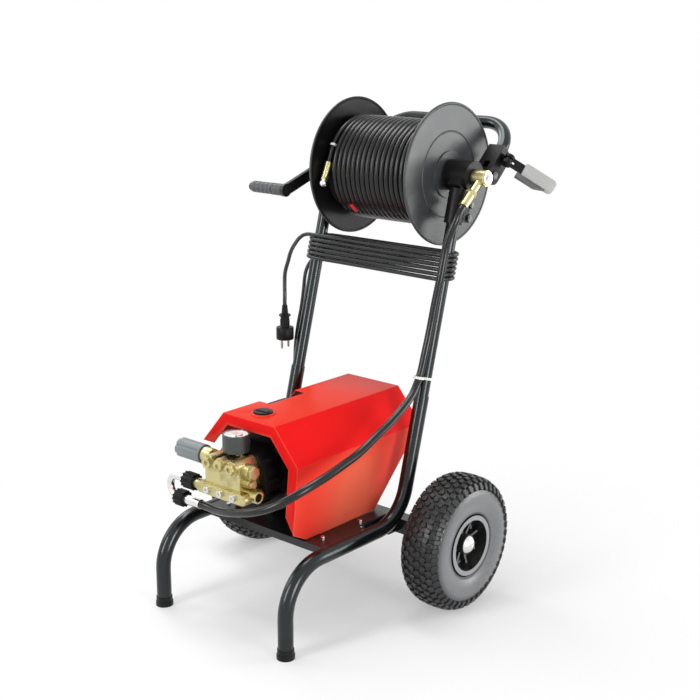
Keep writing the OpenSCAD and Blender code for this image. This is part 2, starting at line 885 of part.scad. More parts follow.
// Plated turn-back pipe between the pump's outlet and the feed hose
module outlet_elbow() {
    turn_r = (outlet_z - hose_end_z) / 2;
    color("#cfcfc8") translate([0, outlet_y, 0]) {
        translate([0, 0, outlet_z]) x_bar(-uturn_x, -sill_w / 2 - outlet_out, uturn_d);
        translate([-uturn_x, 0, outlet_z - turn_r]) rotate([90, 0, 0]) rotate([0, 0, 90])
            rotate_extrude(angle = 180) translate([turn_r, 0]) circle(d = uturn_d);
        translate([0, 0, hose_end_z]) {
            x_bar(-uturn_x, hose_end_x - sleeve_l, uturn_d);
            x_bar(hose_end_x - sleeve_l, hose_end_x, sleeve_d);
        }
    }
}

// Ribbed hand nuts on both legs of the turn-back pipe
module coupling_nut(l) {
    difference() {
        union() {
            x_bar(0, l, nut_d);
            for (i = [0:nut_ribs - 1]) rotate([360 * i / nut_ribs, 0, 0]) translate([0, 0, nut_d / 2])
                x_bar(0, l, 2 * nut_rib_r, 16);
        }
        x_bar(-over, l + over, uturn_d);
    }
}
module coupling_nuts() {
    color("#161718") translate([0, outlet_y, 0]) {
        translate([-sill_w / 2 - outlet_out - nut_l, 0, outlet_z]) coupling_nut(nut_l);
        translate([hose_end_x - sleeve_l - hose_nut_l, 0, hose_end_z]) coupling_nut(hose_nut_l);
    }
}

// Folded sheet cover, open at the front and the back
module cover_side_profile() {
    front = axle_y - cover_ahead;
    polygon([
        [front, plate_top + cover_h], [front, plate_top + cover_corner_h],
        [front + cover_corner_l, plate_top], [axle_y - cover_foot_ahead, plate_top],
        [axle_y + cover_behind, plate_top + cover_fold_h], [axle_y + cover_behind, plate_top + cover_h]
    ]);
}
// Slanted lower ends of the front flange
module cover_flange_ends() {
    low = [cover_foot_w / 2 + over, plate_top + cover_corner_h];
    high = [cover_foot_w / 2 - cover_flange, plate_top + cover_flange_end];
    for (s = [-1, 1]) polygon([
        [s * low[0], plate_top], [s * low[0], low[1]], [s * high[0], high[1]],
        [s * (high[0] - cover_flange), high[1]], [s * (high[0] - cover_flange), plate_top]
    ]);
}
module cover() {
    front = axle_y - cover_ahead;
    back = axle_y + cover_behind;
    color("#d8191c") difference() {
        union() {
            intersection() {
                union() {
                    front_plate(front, back) difference() {
                        polygon(cover_section(0));
                        polygon(cover_section(sheet_t));
                        translate([-cover_w, 0]) square([2 * cover_w, plate_top + over]);
                    }
                    front_plate(front, front + sheet_t) difference() {
                        polygon(cover_section(0));
                        polygon(cover_section(cover_flange));
                        translate([-cover_w, 0]) square([2 * cover_w, plate_top + over]);
                        cover_flange_ends();
                    }
                }
                side_plate(-cover_w, cover_w) cover_side_profile();
            }
            both_sides()
                translate([cover_foot_w / 2 - cover_foot_flange, front + 2 * cover_corner_l, plate_top])
                cube([cover_foot_flange, cover_ahead - cover_foot_ahead - 3 * cover_corner_l, sheet_t]);
        }
        translate([-cover_w, box_back - box_l - notch_gap, plate_top + cover_h - cover_notch_h])
            cube([cover_w - cover_notch_in, box_l + 2 * notch_gap, cover_h]);
        translate([-cover_w, front - over, 0])
            cube([cover_w - side_cut_x, cover_side_cut_l, plate_top + cover_fold_h]);
        translate([switch_x, switch_y, plate_top])
            cylinder(d = switch_body_d + 2 * plug_fit, h = 2 * cover_h);
        translate([0, axle_y + gland_behind, gland_z]) x_bar(-cover_w, gland_in_x, gland_shank_d);
    }
}

// Rotary mains switch in the cover's top
module switch_body() {
    top = plate_top + cover_h;
    color("#141516") translate([switch_x, switch_y, top]) difference() {
        union() {
            cylinder(d = switch_d, h = switch_rim_h);
            translate([0, 0, -switch_body_h]) cylinder(d = switch_body_d, h = switch_body_h + over);
        }
        translate([0, 0, switch_rim_h - knob_pin_l])
            cylinder(d = knob_pin_d + 2 * run_fit, h = knob_pin_l + over);
    }
}
module switch_knob() {
    top = plate_top + cover_h + switch_rim_h;
    color("#1e2022") translate([switch_x, switch_y, top]) {
        translate([0, 0, free_gap]) cylinder(d = knob_d, h = knob_h);
        translate([-knob_d / 2 + knob_wing / 2, -knob_wing / 2, free_gap])
            cube([knob_d - knob_wing, knob_wing, knob_h + knob_wing_h]);
        translate([0, 0, free_gap - knob_pin_l + over]) cylinder(d = knob_pin_d, h = knob_pin_l);
    }
}

// Finned motor housing with its feet and rear bearing wall
module motor_housing() {
    color("#1b1c1e") at_shaft() difference() {
        union() {
            front_plate(motor_front, motor_back) {
                circle(d = motor_d - 2 * fin_h);
                for (i = [0:fin_count - 1]) rotate(360 * i / fin_count)
                    translate([0, -fin_t / 2]) square([motor_d / 2, fin_t]);
            }
            y_bar(motor_back - motor_wall, motor_back, motor_d);
            both_sides() translate([foot_x - foot_w, motor_front + (motor_l - foot_l) / 2, -shaft_h]) {
                cube([foot_w + foot_w / 2, foot_l, foot_t]);
                cube([foot_w / 2, foot_l, shaft_h - motor_d / 4]);
            }
        }
        y_bar(motor_front - over, motor_back - motor_wall, stator_bore);
        y_bar(motor_front, motor_back + over, shaft_d + 2 * run_fit);
    }
}
module motor_end_bell() {
    color("#1b1c1e") at_shaft() difference() {
        y_bar(bell_front, motor_front, bell_d);
        y_bar(bell_front - over, motor_front + over, shaft_d + 2 * run_fit);
    }
}

// Fan cowl with a ring grille at the back
module fan_cowl() {
    cowl_front = motor_back - cowl_lap;
    cowl_back = cowl_front + cowl_l;
    color("#202224") at_shaft() {
        difference() {
            y_bar(cowl_front, cowl_back, cowl_d);
            y_bar(cowl_front - over, cowl_back + over, cowl_d - 2 * cowl_t);
        }
        front_plate(motor_back - motor_wall, motor_back) difference() {
            circle(d = cowl_d - cowl_t);
            circle(d = motor_d);
        }
        front_plate(cowl_back - cowl_t, cowl_back) {
            for (r = [cowl_ring_pitch:cowl_ring_pitch:cowl_d / 2]) difference() {
                circle(r = r);
                circle(r = r - cowl_ring_w);
            }
            for (i = [0:cowl_spokes - 1]) rotate(360 * i / cowl_spokes)
                translate([0, -cowl_ring_w / 2]) square([(cowl_d - cowl_t) / 2, cowl_ring_w]);
        }
    }
}

// Shaft with the rotor core
module motor_rotor() {
    core_inset = motor_wall * 2;
    color("#8b8e91") at_shaft() {
        y_bar(bell_front, motor_back + shaft_back - fan_gap, shaft_d);
        y_bar(motor_front + core_inset, motor_back - motor_wall - core_inset, stator_bore - 2 * air_gap);
    }
}
module cooling_fan() {
    fan_front = motor_back + fan_gap;
    color("#2a2c2e") at_shaft() difference() {
        union() {
            y_bar(fan_front, fan_front + fan_l, 2 * fan_hub_r);
            y_bar(fan_front, fan_front + fan_blade_t, 2 * fan_r);
            for (i = [0:fan_blades - 1]) rotate([0, 360 * i / fan_blades, 0])
                translate([0, fan_front + fan_blade_t / 2, -fan_blade_t / 2])
                    cube([fan_r - fan_tip, fan_l - fan_blade_t, fan_blade_t]);
        }
        y_bar(fan_front - over, fan_front + fan_l + over, shaft_d);
    }
}

// Terminal box on the motor's flank and the gland of the mains cable
module terminal_box() {
    color("#191a1c") difference() {
        translate([box_low_x, box_back - box_l, box_top - box_h]) cube([box_w, box_l, box_h]);
        at_shaft() y_bar(box_back - box_l - over, box_back + over, motor_d + 2 * plug_fit);
    }
}
module cable_gland() {
    color("#121314") translate([0, axle_y + gland_behind, gland_z]) difference() {
        union() {
            x_bar(gland_face_x, gland_in_x, gland_shank_d);
            x_bar(gland_nut_x, gland_face_x, gland_d, 6);
            x_bar(gland_tip_x, gland_nut_x, gland_shank_d);
        }
        x_bar(gland_nut_x, gland_in_x + over, cable_d);
    }
}

// Ribbed crankcase between the motor and the pump head
module pump_crankcase() {
    color("#17181a") at_shaft() difference() {
        union() {
            y_bar(crankcase_front, bell_front, crankcase_d - 2 * rib_h);
            y_bar(bell_front - bell_t / 2, bell_front, crankcase_d);
            y_bar(crankcase_front, crankcase_front + head_adapter_t, crankcase_d);
            front_plate(crankcase_front, bell_front) for (i = [0:crankcase_ribs - 1])
                rotate(360 * i / crankcase_ribs) translate([0, -rib_t / 2]) square([crankcase_d / 2, rib_t]);
        }
        y_bar(bell_front - bell_t, bell_front + over, shaft_d + 2 * free_gap);
        translate([-crankcase_d, crankcase_front - over, crankcase_top])
            cube([2 * crankcase_d, crankcase_l + 2 * over, crankcase_d]);
    }
}

// Brass head: valve chambers on top, bolted sill below, ports at both sides
module pump_head() {
    color("#c7a94e") difference() {
        union() {
            at_shaft() {
                y_bar(crankcase_front - head_adapter_t, crankcase_front, head_adapter_d);
                translate([-head_w / 2, head_front + (head_l - sill_l), -head_low + sill_h / 2])
                    cube([head_w, sill_l, head_low + head_high - sill_h / 2]);
                translate([-sill_w / 2, head_front, -sill_low]) cube([sill_w, sill_l, sill_h]);
                for (i = [-1:1]) translate([i * chamber_pitch, 0, chamber_rise])
                    y_bar(head_front, crankcase_front, chamber_d);
                for (s = [-1, 1]) translate([s * sill_w / 2, 0, -sill_low + sill_h / 2])
                    y_bar(head_front, head_front + sill_l, sill_h);
                translate([0, crankcase_front - side_port_back, side_port_rise])
                    x_bar(0, head_w / 2 + side_port_l, side_port_d);
                translate([0, crankcase_front - low_port_back - low_port_d / 2, low_port_rise])
                    x_bar(0, head_w / 2 + low_port_l, low_port_d);
                translate([0, crankcase_front - inlet_back - inlet_d / 2, -inlet_drop])
                    x_bar(0, head_w / 2 + inlet_out, inlet_d);
            }
            translate([0, outlet_y, outlet_z]) x_bar(-sill_w / 2 - outlet_out, 0, outlet_d);
            translate([0, gauge_y, shaft_z])
                cylinder(d = gauge_boss_d, h = gauge_z - gauge_boss_gap - shaft_z);
        }
        at_shaft() {
            translate([0, crankcase_front - inlet_back - inlet_d / 2, -inlet_drop])
                x_bar(head_w / 2 + inlet_out - inlet_depth, head_w / 2 + inlet_out + over, inlet_bore);
            translate([0, crankcase_front - side_port_back, side_port_rise])
                x_bar(head_w / 2, head_w / 2 + side_port_l + over, side_port_d / 2);
            translate([0, crankcase_front - low_port_back - low_port_d / 2, low_port_rise])
                x_bar(head_w / 2, head_w / 2 + low_port_l + over, low_port_d / 2);
        }
        translate([0, outlet_y, outlet_z]) x_bar(-sill_w / 2 - outlet_out - over, 0, outlet_d / 2);
    }
}

// Hexagon plugs that close the valve chambers
module valve_plugs() {
    color("#d0b560") at_shaft() for (i = [-1:1])
        translate([i * chamber_pitch, 0, chamber_rise]) difference() {
            y_bar(head_front - plug_l, head_front, plug_af, 6);
            y_bar(head_front - plug_l - over, head_front - plug_l / 2, plug_socket, 6);
        }
    color("#d0b560") at_shaft() {
        translate([0, crankcase_front - side_port_back, side_port_rise])
            side_plug(head_w / 2 + side_port_l, side_port_d);
        translate([0, crankcase_front - low_port_back - low_port_d / 2, low_port_rise])
            side_plug(head_w / 2 + low_port_l, low_port_d);
    }
}
module side_plug(face, d) {
    x_bar(face - plug_l, face, d / 2);
    x_bar(face, face + plug_l, d - plug_l / 2, 6);
}
module head_bolts() {
    color("#b9b39a") at_shaft() for (i = [-1:1])
        translate([i * cap_screw_pitch, 0, -sill_low + sill_h / 2]) difference() {
            y_bar(head_front - cap_screw_l, head_front, cap_screw_d);
            y_bar(head_front - cap_screw_l - over, head_front - cap_screw_l / 2, cap_screw_socket, 6);
        }
}

// Pressure regulator at the left of the head
module unloader_body() {
    color("#c7a94e") at_shaft() translate([0, crankcase_front - unloader_back, unloader_rise]) {
        x_bar(-head_w / 2 - unloader_l, -head_w / 2, unloader_d);
        x_bar(-head_w / 2 - unloader_l - knob_spindle_l, -head_w / 2 - unloader_l, knob_spindle_d);
    }
}
module regulator_knob() {
    inner = -head_w / 2 - unloader_l - regulator_gap;
    color("#6c7479") at_shaft() translate([0, crankcase_front - unloader_back, unloader_rise]) difference() {
        x_bar(inner - regulator_l, inner, regulator_d);
        for (i = [0:regulator_lobes - 1]) rotate([360 * i / regulator_lobes, 0, 0])
            translate([0, 0, regulator_d / 2 + regulator_flute_r / 2])
                x_bar(inner - regulator_l - over, inner - regulator_flute_r, 2 * regulator_flute_r);
        x_bar(inner - knob_spindle_l, inner + over, knob_spindle_d + 2 * run_fit);
    }
}

// Pressure gauge with its dial facing up
module gauge_case() {
    stem_l = gauge_boss_gap;
    color("#2b2f31") translate([0, gauge_y, gauge_z]) difference() {
        union() {
            cylinder(d = gauge_d, h = gauge_h);
            translate([0, 0, -stem_l]) cylinder(d = gauge_stem_d, h = stem_l + over);
        }
        translate([0, 0, gauge_floor]) cylinder(d = gauge_d - 2 * gauge_wall, h = gauge_h);
        translate([0, 0, gauge_floor - gauge_wall]) cylinder(d = needle_pin_d + 2 * run_fit, h = gauge_h);
    }
}
module gauge_lens() {
    color([0.9, 0.95, 1, 0.4]) translate([0, gauge_y, gauge_z + gauge_h - lens_t])
        cylinder(d = gauge_d - 2 * gauge_wall, h = lens_t);
}
module gauge_needle() {
    color("#b01818") translate([0, gauge_y, gauge_z + gauge_floor]) {
        translate([0, 0, needle_lift]) cylinder(d = needle_hub_d, h = needle_t + needle_lift);
        translate([-needle_w / 2, 0, needle_lift]) cube([needle_w, needle_l, needle_t]);
        translate([0, 0, -gauge_wall + free_gap]) cylinder(d = needle_pin_d, h = gauge_wall + needle_lift);
    }
}

// Mains cable: free run, winding round the uprights, free end and plug
module cable_lead() {
    start = [gland_tip_x, axle_y + gland_behind, gland_z];
    last = hank_line()[0];
    way = [cable_d, 0, 0];
    line = concat([start, start - way], lead_route, [last - way, last]);
    color("#2a2c2d") swept_tube(line, cable_d, 8, [1, 3, 0]);
}
module cable_hank() {
    line = hank_line();
    echo(hank_gap = least_gap(line, cable_d));
    color("#2a2c2d") swept_tube(line, cable_d, wound_sides, [0, 0, 1]);
}
module cable_tail() {
    wound = hank_line();
    start = wound[len(wound) - 1];
    last = plug_top + [0, 0, cable_d];
    line = concat([start, start - [cable_d, 0, 0]], tail_route, [last, plug_top]);
    color("#2a2c2d") swept_tube(line, cable_d, 8, [1, 1, 0]);
}
// Round two-pin plug; h lists its steps from the cable down
module mains_plug() {
    h = [plug_relief_l, plug_ring_l, plug_neck_l, plug_body_l, pin_l];
    ring_z = -h[0] - h[1];
    neck_z = ring_z - h[2];
    body_z = neck_z - h[3];
    color("#141516") translate(plug_top) {
        translate([0, 0, -h[0]]) cylinder(d1 = plug_relief_d, d2 = cable_d + over, h = h[0]);
        translate([0, 0, ring_z]) cylinder(d = plug_ring_d, h = h[1]);
        translate([0, 0, neck_z]) cylinder(d = plug_neck_d, h = h[2]);
        translate([0, 0, body_z]) cylinder(d = plug_d, h = h[3]);
        for (s = [-1, 1]) translate([0, s * pin_gap / 2, body_z - h[4]]) cylinder(d = pin_d, h = h[4]);
    }
}

// Drum with its end walls, hubs and the tail piece that the hose starts from
module at_hose_start() {
    line = winding_line();
    t = unit(line[0] - line[1]);
    translate(line[0]) rotate([0, acos(t[2]), atan2(t[1], t[0])]) children();
}
module reel_drum() {
    inner = reel_w / 2 - flange_t;
    outer = reel_w / 2 + hub_boss_l;
    color("#2a2d2f") {
        at_reel() difference() {
            x_turned() {
                translate([-inner, drum_d / 2 - drum_wall]) square([2 * inner, drum_wall]);
                for (x = [-inner, inner - drum_wall]) translate([x, 0]) square([drum_wall, drum_d / 2]);
                for (x = [-outer, inner - drum_wall]) translate([x, 0])
                    square([outer - inner + drum_wall, hub_boss_r]);
            }
            x_bar(-reel_w, reel_w, reel_axle_d);
        }
        difference() {
            at_hose_start() cylinder(d = tail_d, h = tail_l);
            at_reel() x_bar(-reel_w, reel_w, drum_d - drum_wall);
        }
        at_reel() rotate([hose_start_angle - tail_turn, 0, 0])
            translate([winding_x - tail_d / 4, drum_d / 2 - drum_wall, -tail_foot / 2])
                cube([tail_d / 2, tail_foot, tail_foot]);
    }
}
module reel_flanges() {
    bead = reel_d * flange_bead_share / 2;
    color("#45494b") both_sides() at_reel() x_turned() {
        translate([reel_w / 2 - flange_t, hub_boss_r])
            square([flange_t, reel_d / 2 - flange_rim_r - hub_boss_r]);
        translate([reel_w / 2 - flange_rim_r / 2, reel_d / 2 - flange_rim_r]) circle(r = flange_rim_r);
        translate([reel_w / 2, bead]) circle(r = flange_bead_r);
        translate([reel_w / 2, hub_boss_r]) square([hub_plate_t, hub_plate_r - hub_boss_r]);
    }
}
module reel_axle() {
    color("#9da0a3") at_reel() {
        x_bar(-crank_x, boss_out - over, reel_axle_d);
        x_bar(-crank_x - crank_t - bolt_head_h, -crank_x, stub_d);
        x_bar(boss_out - over, swivel_x + swivel_l - 2 * swivel_cap_l, stub_d);
    }
}
module hose_core() {
    inner = reel_w / 2 - flange_t - free_gap;
    color("#1a1c1d") at_reel() difference() {
        x_bar(-inner, winding_x - hose_pitch, 2 * core_r);
        x_bar(-inner - over, winding_x, drum_d);
    }
}
module hose_winding() {
    line = winding_line();
    echo(winding_gap = least_gap(line, reel_hose_d));
    color("#202223") swept_tube(line, reel_hose_d, wound_sides, [1, 0, 0]);
}

// Frame at the free end of the winding, with z along the hose
module at_hose_end() {
    line = winding_line();
    last = line[len(line) - 1];
    t = unit(last - line[len(line) - 2]);
    translate(last) rotate([0, acos(t[2]), atan2(t[1], t[0])]) children();
}
module hose_nozzle() {
    color("#cdb25a") at_hose_end() {
        cylinder(d = reel_hose_d + 2 * tie_t, h = ferrule_l);
        translate([0, 0, ferrule_l]) cylinder(d = reel_hose_d + 2 * tie_t, h = collar_l, $fn = 6);
        translate([0, 0, ferrule_l + collar_l + reel_hose_d / 2]) sphere(d = reel_hose_d + 2 * tie_t);
    }
}

// Crank with the pin of its grip
module at_crank() {
    at_reel() rotate([crank_turn, 0, 0]) children();
}
module crank_arm() {
    out = crank_x + crank_t;
    color("#161718") at_crank() {
        difference() {
            union() {
                x_bar(-out, -crank_x, 2 * crank_hub_r);
                translate([-out, 0, -crank_bar / 2]) cube([crank_t, crank_r, crank_bar]);
                translate([0, crank_r, 0]) x_bar(-out, -crank_x, 2 * crank_end_r);
            }
            x_bar(-out - over, -crank_x + over, stub_d);
        }
        translate([0, crank_r, 0]) {
            x_bar(-out - grip_l - 2 * over, -out, grip_pin_d);
            x_bar(-out - grip_l - 2 * over - grip_cap_l, -out - grip_l - 2 * over, grip_cap_d);
        }
    }
}
module crank_grip() {
    out = crank_x + crank_t + over;
    step = grip_l / (grip_grooves + 1);
    color("#4a4f52") at_crank() translate([0, crank_r, 0]) difference() {
        x_bar(-out - grip_l, -out, grip_d);
        x_bar(-out - grip_l - over, -out + over, grip_pin_d + 2 * run_fit);
        for (i = [1:grip_grooves]) difference() {
            x_bar(-out - i * step - grip_groove / 2, -out - i * step + grip_groove / 2, grip_d + over);
            x_bar(-out - i * step - grip_groove, -out - i * step + grip_groove, grip_d - 2 * grip_groove);
        }
    }
}

// Folding push handle: bent tube, fork knuckles and their pivots
module handle_run(d, extra) {
    both_sides() {
        translate([tube_x, 0, 0]) y_bar(socket_start - extra, arm_l, d);
        translate([tube_x - handle_bend_r, arm_l, 0]) rotate_extrude(angle = 90)
            translate([handle_bend_r, 0]) circle(d = d);
    }
    translate([0, arm_l + handle_bend_r, 0]) x_bar(handle_bend_r - tube_x, tube_x - handle_bend_r, d);
}
module push_handle() {
    color("#17181a") on_arm() difference() {
        handle_run(upright_d, 0);
        handle_run(upright_d - 2 * tube_wall, over);
    }
}
module knuckle() {
    difference() {
        union() {
            x_bar(-knuckle_s / 2, knuckle_s / 2, knuckle_s);
            translate([-knuckle_s / 2, 0, -knuckle_s / 2]) cube([knuckle_s, arm_l, knuckle_s]);
        }
        translate([-ear_t / 2 - free_gap, -knuckle_s, -knuckle_s])
            cube([ear_t + 2 * free_gap, knuckle_s + fork_depth, 2 * knuckle_s]);
        y_bar(socket_start, arm_l + over, upright_d + 2 * plug_fit);
        x_bar(-knuckle_s, knuckle_s, pivot_d);
    }
}
module handle_knuckles() {
    eye_x = knuckle_s / 2 + eye_out;
    color("#131415") on_arm() {
        both_sides() translate([tube_x, 0, 0]) knuckle();
        translate([tube_x, eye_along, 0]) difference() {
            union() {
                x_bar(knuckle_s / 2, eye_x, eye_pin_d);
                translate([eye_x, 0, 0]) y_bar(-eye_t / 2, eye_t / 2, 2 * eye_r);
            }
            translate([eye_x, 0, 0]) y_bar(-eye_t, eye_t, eye_pin_d + 2 * run_fit);
        }
    }
}
module handle_pivots() {
    half = knuckle_s / 2;
    color("#b9bcbf") on_arm() both_sides() translate([tube_x, 0, 0]) {
        x_bar(-half, half, pivot_d);
        x_bar(-half - pivot_head_t, -half, pivot_head_d);
        x_bar(half, half + pivot_head_t, pivot_head_d);
    }
}

// Cam lever that clamps the handle, swung out
module on_lever() {
    on_arm() translate([tube_x + knuckle_s / 2 + eye_out, eye_along, 0])
        rotate([0, lever_droop, 0]) children();
}
module clamp_lever() {
    color("#1b1d1e") on_lever() difference() {
        union() {
            y_bar(-cam_w / 2, cam_w / 2, 2 * cam_r);
            translate([0, -lever_w / 2, -lever_t / 2]) cube([lever_l, lever_w, lever_t]);
        }
        translate([-2 * cam_r, -eye_t / 2 - free_gap, -2 * cam_r])
            cube([3 * cam_r + eye_r / 2, eye_t + 2 * free_gap, 4 * cam_r]);
    }
    color("#1b1d1e") on_lever() y_bar(-cam_w / 2, cam_w / 2, eye_pin_d);
}
module lever_grip() {
    color("#a9acad") on_lever() difference() {
        translate([lever_grip_start, -lever_grip_w / 2, -lever_grip_t / 2])
            cube([lever_grip_l, lever_grip_w, lever_grip_t]);
        translate([lever_grip_start - over, -lever_w / 2, -lever_t / 2])
            cube([lever_l - lever_grip_start + over, lever_w, lever_t]);
    }
}

left_side_tube();
right_side_tube();
left_upright();
right_upright();
foot_caps();
platform();
panel_screws();
axle_carrier();
axle();
hub_caps();
left_reel_bracket();
right_reel_bracket();
bracket_bolts();
reel_bushes();
swivel_body();
swivel_elbow();
feed_hose();
hose_tie();
outlet_elbow();
coupling_nuts();
cover();
motor_housing();
motor_end_bell();
fan_cowl();
terminal_box();
cable_gland();
switch_body();
pump_crankcase();
pump_head();
valve_plugs();
head_bolts();
unloader_body();
gauge_case();
gauge_lens();
cable_lead();
cable_hank();
cable_tail();
mains_plug();
left_tyre();
left_rim();
right_tyre();
right_rim();
reel_drum();
reel_flanges();
reel_axle();
hose_core();
hose_winding();
hose_nozzle();
crank_arm();
crank_grip();
push_handle();
handle_knuckles();
handle_pivots();
clamp_lever();
lever_grip();
regulator_knob();
switch_knob();
gauge_needle();
motor_rotor();
cooling_fan();
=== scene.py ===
"""Looks of a two-wheeled drain jetter: cords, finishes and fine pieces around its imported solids."""

import json
import logging
import math
from collections.abc import Callable, Iterable, Sequence
from dataclasses import dataclass
from enum import Enum, StrEnum
from typing import ClassVar

import bmesh
import bpy
from mathutils import Matrix, Vector


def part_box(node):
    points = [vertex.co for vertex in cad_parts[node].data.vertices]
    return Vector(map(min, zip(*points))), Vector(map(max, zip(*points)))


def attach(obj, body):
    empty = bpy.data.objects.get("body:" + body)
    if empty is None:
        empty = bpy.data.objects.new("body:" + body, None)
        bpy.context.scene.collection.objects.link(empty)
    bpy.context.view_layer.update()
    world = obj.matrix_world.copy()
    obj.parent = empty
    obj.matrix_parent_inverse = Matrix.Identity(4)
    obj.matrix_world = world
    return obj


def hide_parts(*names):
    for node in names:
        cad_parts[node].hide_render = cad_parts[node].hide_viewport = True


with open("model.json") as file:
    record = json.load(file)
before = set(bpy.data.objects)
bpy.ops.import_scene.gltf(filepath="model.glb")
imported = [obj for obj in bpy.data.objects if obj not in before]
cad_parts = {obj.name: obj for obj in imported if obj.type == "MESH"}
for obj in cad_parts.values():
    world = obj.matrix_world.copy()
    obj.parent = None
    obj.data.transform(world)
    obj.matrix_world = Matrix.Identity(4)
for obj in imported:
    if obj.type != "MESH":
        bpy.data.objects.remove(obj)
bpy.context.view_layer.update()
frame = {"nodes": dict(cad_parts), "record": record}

LOG = logging.getLogger("drain_jetter")
MM = 0.001
FULL_TURN = 2 * math.pi
Span = tuple[float, float]
Triple = tuple[float, float, float]
Colour = Triple
Profile = Sequence[Span]
Mesh = bmesh.types.BMesh
Corner = bmesh.types.BMVert
Edge = bmesh.types.BMEdge
Face = bmesh.types.BMFace
Node = bpy.types.Node
Piece = bpy.types.Object
Socket = bpy.types.NodeSocket
Tree = bpy.types.NodeTree
Sockets = dict[str, Socket]
WHITE: Colour = (1.0, 1.0, 1.0)
shift = Matrix.Translation


def at(x: float, y: float, z: float) -> Vector:
    """A point of the part's frame, given in millimetres."""
    return Vector((x, y, z)) * MM


def rotated(axis: str, degrees: float) -> Matrix:
    """A turn about X, Y or Z."""
    return Matrix.Rotation(math.radians(degrees), 4, axis)


class Axis(Enum):
    """Directions of the part's frame."""

    X = (1.0, 0.0, 0.0)
    Z = (0.0, 0.0, 1.0)

    @property
    def vector(self) -> Vector:
        """The direction as a vector."""
        return Vector(self.value)


class Side(Enum):
    """The two sides of the cart, seen by a person who pushes it."""

    LEFT = -1
    RIGHT = 1


# Shader graphs and the effects that finishes share


class Graph:
    """A node tree with a short way to add and join nodes."""

    def __init__(self, tree: Tree) -> None:
        """Takes the tree of a material, a world or a group, and empties it."""
        self.tree = tree
        self.tree.nodes.clear()

    def feed(self, socket: Socket, value: object) -> None:
        """Joins a socket to another one, or sets its own value.

        Args:
            socket: the input to feed.
            value: an output socket, a number or a colour.
        """
        if isinstance(value, Socket):
            self.tree.links.new(value, socket)
        elif socket.type == "RGBA":
            socket.default_value = (*value, 1.0)
        else:
            socket.default_value = value

    def add(self, kind: str, inputs: dict[str | int, object] | None = None, **settings: object) -> Node:
        """Adds one node.

        Args:
            kind: the node's type name, without its prefix.
            inputs: values or sockets by the input's name or number.
            **settings: the node's own settings.

        Returns:
            The new node.
        """
        node = self.tree.nodes.new("ShaderNode" + kind)
        for name, value in settings.items():
            setattr(node, name, value)
        for name, value in (inputs or {}).items():
            self.feed(node.inputs[name], value)
        return node

    def group(self, effect: "Effect", **inputs: object) -> Node:
        """Places a shared effect with its own values."""
        return self.add("Group", inputs, node_tree=effect.tree())

    def calc(self, operation: str, a: object, b: object = 0.0, clamp: bool = False) -> Socket:
        """One sum on two values, held between 0 and 1 if asked."""
        return self.add("Math", {0: a, 1: b}, operation=operation, use_clamp=clamp).outputs[0]

    def blend(self, share: object, a: object, b: object) -> Socket:
        """The first colour with a share of the second."""
        return self.add("Mix", {0: share, 6: a, 7: b}, data_type="RGBA").outputs[2]

    def layer(self, share: Socket, a: Node, b: Node) -> Socket:
        """The first shader with a share of the second."""
        return self.add("MixShader", {0: share, 1: a.outputs[0], 2: b.outputs[0]}).outputs[0]

    def span(self, value: Socket, low: float, high: float, out_low: float = 0.0, out_high: float = 1.0) -> Socket:
        """A value stretched from one span to another and held inside it."""
        ends = {"Value": value, "From Min": low, "From Max": high, "To Min": out_low, "To Max": out_high}
        return self.add("MapRange", ends, clamp=True).outputs[0]

    def place(self) -> Socket:
        """The object's own coordinates."""
        return self.add("TexCoord").outputs["Object"]

    def mapped(self, vector: Socket, **changes: Colour) -> Socket:
        """A coordinate that is moved, turned or stretched."""
        return self.add("Mapping", {"Vector": vector, **changes}).outputs[0]

    def part(self, vector: Socket, axis: str) -> Socket:
        """A vector's share along X, Y or Z."""
        return self.add("SeparateXYZ", {"Vector": vector}).outputs[axis]

    def length(self, vector: Socket) -> Socket:
        """A vector's length."""
        return self.add("VectorMath", {"Vector": vector}, operation="LENGTH").outputs["Value"]

    def normal(self) -> Socket:
        """The surface's normal."""
        return self.add("NewGeometry").outputs["Normal"]

    def rounded_normal(self, radius: object) -> Socket:
        """The normal run round edges over a radius."""
        return self.add("Bevel", {"Radius": radius}, samples=6).outputs[0]

    def noise(self, scale: object, detail: float, place: Socket | None = None) -> Socket:
        """Noise with some waves per metre on the object's own or other coordinates."""
        place = place or self.place()
        return self.add("TexNoise", {"Vector": place, "Scale": scale, "Detail": detail}).outputs[0]


@dataclass(frozen=True)
class Effect:
    """A node group that finishes share: its name, inputs with defaults, and output types."""

    name: str
    draw: Callable[[Graph, Sockets], Sockets]
    inputs: dict[str, float]
    outputs: dict[str, str]

    def tree(self) -> Tree:
        """The node group, built once.

        Returns:
            The group's tree.
        """
        made = bpy.data.node_groups.get(self.name)
        if made is not None:
            return made
        made = bpy.data.node_groups.new(self.name, "ShaderNodeTree")
        for label, default in self.inputs.items():
            made.interface.new_socket(name=label, in_out="INPUT", socket_type=FLOAT).default_value = default
        for label, kind in self.outputs.items():
            made.interface.new_socket(name=label, in_out="OUTPUT", socket_type=kind)
        graph = Graph(made)
        entry = made.nodes.new("NodeGroupInput")
        leave = made.nodes.new("NodeGroupOutput")
        for label, socket in self.draw(graph, {label: entry.outputs[label] for label in self.inputs}).items():
            graph.feed(leave.inputs[label], socket)
        return made


